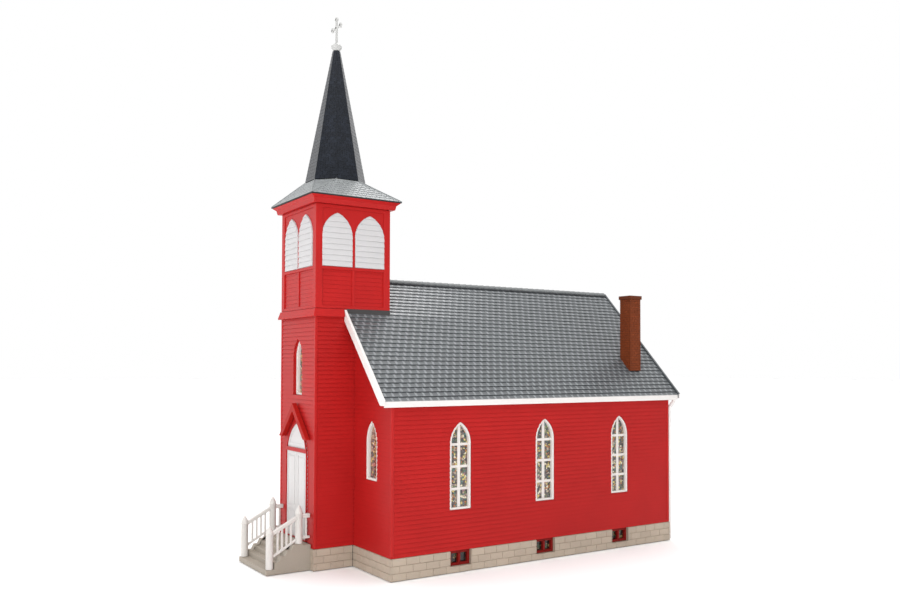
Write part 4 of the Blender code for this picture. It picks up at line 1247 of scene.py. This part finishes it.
def makeChimney():
    low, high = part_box("chimney")
    points = cadPoints("chimney")
    middle = (low + high) / 2
    half = max(co.x for co in points if co.z < high.z - bricks["cap"]) - middle.x
    capZ = min(co.z for co in points if co.x > high.x - hair)
    parts = [(softened(cadMesh("chimney", True), arris), 1)]
    length, height = bricks["length"], bricks["height"]
    rows = math.ceil((capZ - low.z) / height)
    columns = math.ceil(2 * half / length) + 1
    for k, outward in enumerate(((0, -1, 0), (1, 0, 0), (0, 1, 0), (-1, 0, 0))):
        origin = middle + Vector(outward) * half
        origin.z = 0
        place = facing(origin, outward)
        centre = (-length / 4, capZ - rows * height / 2)
        shell = bonded(bricks, brick, place, centre, columns, rows, height, 40 + k)
        reach = half + bricks["proud"]
        solid = moved(block((-reach, low.z, -1 * mm), (reach, capZ, 1 * mm)), place)
        parts.append(cut(shell, solid))
    piece("chimney_bricks", parts, [brick, brickBed], ["chimney"])


railing = {
    "newel": 1.2 * mm,
    "sides": 20,
    "tip": 3.0 * mm,
    "collar": (1.08, 0.12 * mm, 0.34 * mm),  # share of the newel's radius, foot and top
    "collarTop": 0.4 * mm,
    "point": (1.7, 0.98, 0.03 * mm),  # how the tip's radius falls, its widest share and its end
    "hand": (0.7 * mm, 0.6 * mm),  # half height and half thickness of the handrail
    "foot": (0.42 * mm, 0.36 * mm),
    "handTop": (13.3 * mm, 18.6 * mm),  # height at the lower and at the upper newel
    "footLow": (4.6 * mm, 10.4 * mm),
    "baluster": 0.3 * mm,
    "slopeCount": 4,
    "levelCount": 1,
}


# A rail of square section from start to end, each given as y and z.
def railBar(x, start, end, half, thick):
    (y0, z0), (y1, z1) = start, end
    ring = [(y0, z0 - half), (y1, z1 - half), (y1, z1 + half), (y0, z0 + half)]
    mesh = prism(ring, -thick, thick)
    turn = Matrix(((0, 0, 1, x), (1, 0, 0, 0), (0, 1, 0, 0), (0, 0, 0, 1)))
    return moved(softened(mesh, min(half, thick) * 0.45, 3), turn)


def newelMesh(x, y, low, top):
    r, tip = railing["newel"], railing["tip"]
    wide, foot, head = railing["collar"]
    power, share, end = railing["point"]
    neck, steps, start = top - tip, 8, railing["collarTop"]
    profile = [(r, low), (r, neck), (r * wide, neck + foot), (r * wide, neck + head)]
    for k in range(steps + 1):
        t = k / steps
        profile.append((r * (1 - t**power) * share + end, neck + start + (tip - start) * t))
    mesh = turnedMesh(profile, railing["sides"])
    return smooth(moved(mesh, Matrix.Translation((x, y, 0))), 40)


def makeRailings():
    for name in ("right", "left"):
        node = "railing_" + name
        low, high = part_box(node)
        x = (low.x + high.x) / 2
        points = cadPoints(node)
        lowerY = low.y + railing["newel"]
        tops = [co for co in points if co.z > high.z - hair]
        upperY = sum(co.y for co in tops) / len(tops)
        lowerTop = max(co.z for co in points if co.y < lowerY + railing["newel"])
        upperFoot = min(co.z for co in points if abs(co.y - upperY) < railing["newel"] * 1.1)
        end = high.y
        rails = {
            "hand": [z - railing["hand"][0] for z in railing["handTop"]],
            "foot": [z + railing["foot"][0] for z in railing["footLow"]],
        }
        parts = [newelMesh(x, lowerY, low.z, lowerTop), newelMesh(x, upperY, upperFoot, high.z)]
        for kind, (z0, z1) in rails.items():
            half, thick = railing[kind]
            parts.append(railBar(x, (lowerY, z0), (upperY, z1), half, thick))
            parts.append(railBar(x, (upperY, z1), (end, z1), half, thick))
        spans = (
            (lowerY, upperY, railing["slopeCount"], True),
            (upperY, end, railing["levelCount"], False),
        )
        for start, stop, count, sloped in spans:
            first, last = start + railing["newel"], stop - (railing["newel"] if sloped else 0)
            pitch = (last - first) / (count + 1)
            b = railing["baluster"]
            for k in range(count):
                y = first + pitch * (k + 1)
                t = (y - lowerY) / (upperY - lowerY) if sloped else 1.0
                z0 = rails["foot"][0] + (rails["foot"][1] - rails["foot"][0]) * t
                z1 = rails["hand"][0] + (rails["hand"][1] - rails["hand"][0]) * t
                parts.append(softened(block((x - b, y - b, z0), (x + b, y + b, z1)), arris))
        piece("rails_" + name, parts, [shadedRailWhite], [node])


cross = {
    "post": 0.8 * mm,
    "lobe": 0.68 * mm,
    "thickness": 0.7 * mm,
    "collar": 2.9 * mm,  # height of the knob
    "knob": (  # its radius and height, as shares, foot first
        (0.6, 0), (0.97, 0.3), (1, 0.36), (1, 0.62), (0.93, 0.68), (0.55, 0.86), (0.3, 1),
    ),
    "knobBelow": 3.5 * mm,
    "knobRound": 0.07 * mm,
    "trefoil": (0.75, 0.6, 0.62),  # of a lobe: distance from the tip, and steps along and across
    "disc": 0.72,  # of a lobe, the radius of its disc
}


def makeFinial():
    low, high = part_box("finial")
    points = cadPoints("finial")
    arm = high.x
    tips = [co.z for co in points if co.x > arm - hair]
    barZ = sum(tips) / len(tips)
    radius = max(abs(co.x) for co in points if co.z < low.z + cross["knobBelow"])
    collar = cross["collar"]
    profile = [(radius * wide, low.z + collar * up) for wide, up in cross["knob"]]
    knob = softened(turnedMesh(profile, 8, math.pi / 8), cross["knobRound"], 1)
    knob = moved(knob, Matrix.Translation((0, towerY, 0)))
    half, lobe, thick = cross["post"] / 2, cross["lobe"], cross["thickness"] / 2
    turn = facing((0, towerY, 0), (0, -1, 0))
    shapes = [
        block((-half, low.z + collar * 0.8, -thick), (half, high.z - lobe, thick)),
        block((-arm + lobe, barZ - half, -thick), (arm - lobe, barZ + half, thick)),
    ]
    first, stepAlong, stepAcross = (lobe * share for share in cross["trefoil"])
    radius = lobe * cross["disc"]
    for cx, cz, dx, dz in ((0, high.z, 0, -1), (arm, barZ, -1, 0), (-arm, barZ, 1, 0)):
        for along, across in ((0, 0), (1, 1), (1, -1)):  # three lobes at each end
            back, aside = first + along * stepAlong, across * stepAcross
            spot = (cx + dx * back + abs(dz) * aside, cz + dz * back + abs(dx) * aside, 0)
            disc = turnedMesh([(radius, -thick), (radius, thick)], 12)
            shapes.append(moved(disc, Matrix.Translation(spot)))
    parts = [moved(softened(shape, arris, 1), turn) for shape in shapes]
    piece("finial_cross", [knob, *parts], [shadedFinialWhite], ["finial"])


doors = {
    "frame": 0.45 * mm,
    "stile": 1.15 * mm,
    "inner": 0.55 * mm,  # second step of a panel's moulding
    "relief": 0.16 * mm,
    "joint": 0.14 * mm,
    "footRail": 1.6,  # of a stile's width
    "sill": 0.3 * mm,
    "root": 0.02 * mm,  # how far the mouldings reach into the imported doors
    "round": 0.06 * mm,
    "panel": 0.8,  # height of a raised panel, of the relief
    "panelRound": 0.1 * mm,
    "transom": (38.0 * mm, 39.3 * mm),
    "lockRail": 18.6 * mm,  # height of the rail between a leaf's two panels
}


def makeDoors():
    low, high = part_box("entrance_doors")
    face = low.y
    place = facing((0, face, 0), (0, -1, 0))
    parts = [cadMesh("entrance_doors", True)]
    relief, stile, joint, root = (doors[key] for key in ("relief", "stile", "joint", "root"))
    reach = high.x - doors["frame"]
    foot, headZ = low.z + doors["sill"], doors["transom"][0]
    for side in (1, -1):
        outline = rectangle((joint / 2, foot), (reach, headZ))
        inner, outer, lock = joint / 2 + stile, reach - stile, doors["lockRail"]
        holes = [
            rectangle((inner, foot + doors["footRail"] * stile), (outer, lock - stile / 2)),
            rectangle((inner, lock + stile / 2), (outer, headZ - stile)),
        ]
        panels = [softened(prism(outline, -root, relief, holes), doors["round"])]
        for hole in holes:
            (u0, v0), (u1, v1) = hole[0], hole[2]
            inset = doors["inner"]
            raised = block((u0 + inset, v0 + inset, -root),
                           (u1 - inset, v1 - inset, relief * doors["panel"]))
            panels.append(softened(raised, doors["panelRound"]))
        for mesh in panels:
            if side < 0:
                mesh.transform(Matrix.Rotation(math.pi, 4, "Y"))
                mesh.transform(Matrix.Translation((0, 0, relief - root)))
            parts.append(moved(mesh, place))
    parts.append(moved(tympanum(relief), place))
    piece("doors", parts, [doorWhite], ["entrance_doors"])


# The arched field over the transom, with a flat border round a sunk panel
def tympanum(relief):
    points = cadPoints("entrance_doors")
    top = max(co.z for co in points)
    half = max(co.x for co in points)
    spring = max(co.z for co in points if co.x > half - hair)
    floorZ = doors["transom"][1]

    def arch(shrink):
        below = floorZ - 8 * mm  # any height under the field, as only what is above it is kept
        ring = lancet(0.0, 2 * half, below, spring, top, shrink, steps=16)
        above = [(u, v) for u, v in ring if v > floorZ + shrink]
        reach = half - shrink
        rise = top - shrink - spring
        inset = (rise**2 - reach**2) / (2 * reach)
        foot = math.sqrt((reach + inset) ** 2 - (floorZ + shrink - spring) ** 2) - inset
        return [(foot, floorZ + shrink), *above, (-foot, floorZ + shrink)]

    edge = doors["frame"]
    ring = prism(arch(edge), -doors["root"], relief, [arch(edge + doors["stile"])])
    return softened(ring, doors["round"])


# The nodes that stay as they are get their finish.
def carryOver():
    finishes = {"foundation_" + end: mortar for end in ("front", "right", "left", "rear")}
    finishes |= {"floor": inside, "tower_wall_back": red}
    for name, material in finishes.items():
        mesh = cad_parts[name].data
        mesh.materials.clear()
        mesh.materials.append(material)


# Camera, light and stage

view = {
    "position": Vector((283.2, -181.8, 67.7)) * mm,
    "forward": Vector((-0.83418, 0.55077, 0.02796)),
    "roll": math.radians(0.142),
    "lens": 34.905,
    "shift": (-0.01534, 0.04586),
}


def makeCamera():
    lens = bpy.data.cameras.new("camera")
    lens.lens = view["lens"]
    lens.sensor_width = 36.0
    lens.shift_x, lens.shift_y = view["shift"]
    lens.clip_start = 0.005
    camera = linked("camera", lens)
    forward = view["forward"].normalized()
    right = forward.cross(Vector((0, 0, 1))).normalized()
    up = right.cross(forward)
    turn = math.cos(view["roll"]), math.sin(view["roll"])
    right, up = right * turn[0] + up * turn[1], up * turn[0] - right * turn[1]
    matrix = Matrix((right, up, -forward)).transposed().to_4x4()
    matrix.translation = view["position"]
    camera.matrix_world = matrix
    scene.camera = camera


studio = {
    "towards": (-0.83, 0.55, 0.0),  # the paper backdrop stands on this side of the model
    "backdrop": 1.1,  # brightness of the backdrop
    "room": 0.22,  # and of the room across from it
    "ceiling": 0.75,  # added straight above
    "turn": (-0.45, 0.35),  # from the room to the backdrop, by direction
    "rise": (0.45, 0.95),  # from the walls to the ceiling, by height
    "floorTone": 0.97,
    "floorSize": 4.0,
    "floorZ": -0.2 * mm,
    "target": (0.0, 0.0, 0.08),
    "lights": {  # place, size and power
        "key": ((-0.80, -0.56, 0.20), 0.42, 0.62),
        "top": ((0.30, -0.20, 0.80), 0.6, 2.1),
        "sheen": ((-0.38, 0.26, 0.60), 0.25, 1.6),
        "fill": ((0.36, -0.36, 0.12), 0.35, 1.35),
    },
}


def areaLight(name, place, size, power):
    light = bpy.data.lights.new(name, "AREA")
    light.size = size
    light.energy = power
    lamp = linked(name, light)
    lamp.location = place
    towards = Vector(studio["target"]) - Vector(place)
    lamp.rotation_euler = towards.to_track_quat("-Z", "Y").to_euler()


# A white room: a bright backdrop, a darker side across from it and a bright ceiling
def makeWorld():
    world = bpy.data.worlds.new("studio")
    scene.world = world
    world.use_nodes = True
    tree = world.node_tree
    direction = tree.nodes.new("ShaderNodeTexCoord").outputs["Generated"]
    towards = addNode(tree, "ShaderNodeVectorMath", {0: direction, 1: studio["towards"]},
                      operation="DOT_PRODUCT")
    height = addNode(tree, "ShaderNodeSeparateXYZ", {0: direction})
    fades = (
        (towards.outputs["Value"], studio["turn"], studio["room"], studio["backdrop"]),
        (height.outputs["Z"], studio["rise"], 0.0, studio["ceiling"]),
    )
    sideways, above = (
        addNode(tree, "ShaderNodeMapRange", {
            "Value": value, "From Min": start, "From Max": end, "To Min": low, "To Max": high,
        }, interpolation_type="SMOOTHSTEP").outputs[0]
        for value, (start, end), low, high in fades
    )
    light = maths(tree, "ADD", sideways, above)
    seen = tree.nodes.new("ShaderNodeLightPath").outputs["Is Camera Ray"]
    strength = addNode(tree, "ShaderNodeMix", {0: seen, 2: light, 3: 1.0})
    feed(tree, tree.nodes["Background"], {
        "Strength": strength.outputs[0], "Color": (1.0, 1.0, 1.0, 1.0),
    })


def makeStage():
    shape = bmesh.new()
    bmesh.ops.create_grid(shape, x_segments=1, y_segments=1, size=studio["floorSize"])
    floorMesh = moved(meshOf(shape), Matrix.Translation((0, 0, studio["floorZ"])))
    floorThing = linked("studio_floor", floorMesh)
    paper, tree, shader = newMaterial("studio_paper")
    feed(tree, shader, {"Base Color": (*[studio["floorTone"]] * 3, 1.0), "Roughness": 0.9})
    floorMesh.materials.append(paper)
    for name, (place, size, power) in studio["lights"].items():
        areaLight(name, place, size, power)
    scene.view_settings.view_transform = "Standard"


makeCamera()
makeWorld()
makeStage()
say("camera and stage ready")
makeNaveWalls()
makeTowerWalls()
say("walls ready")
makeBelfry()
say("belfry ready")
for name, side in bothSides:
    makeWindows("nave_windows_" + name, "nave_" + name, 0, side, True, film)
    makeWindows("nave_window_front_" + name, "front_" + name, 1, -1, False, roseFilm)
makeWindows("nave_windows_rear", "rear", 1, 1, False, roseFilm)
makeWindows("tower_window", "tower", 1, -1, False, roseFilm)
makeCellarWindows()
say("windows ready")
makeRoof()
makeFlashings()
makeRidge()
makeSkirt()
makeSpire()
say("roofs ready")
makeTrim()
makePlinth()
makeChimney()
makeRailings()
makeFinial()
makeDoors()
carryOver()
say("trim, stone and rails ready")
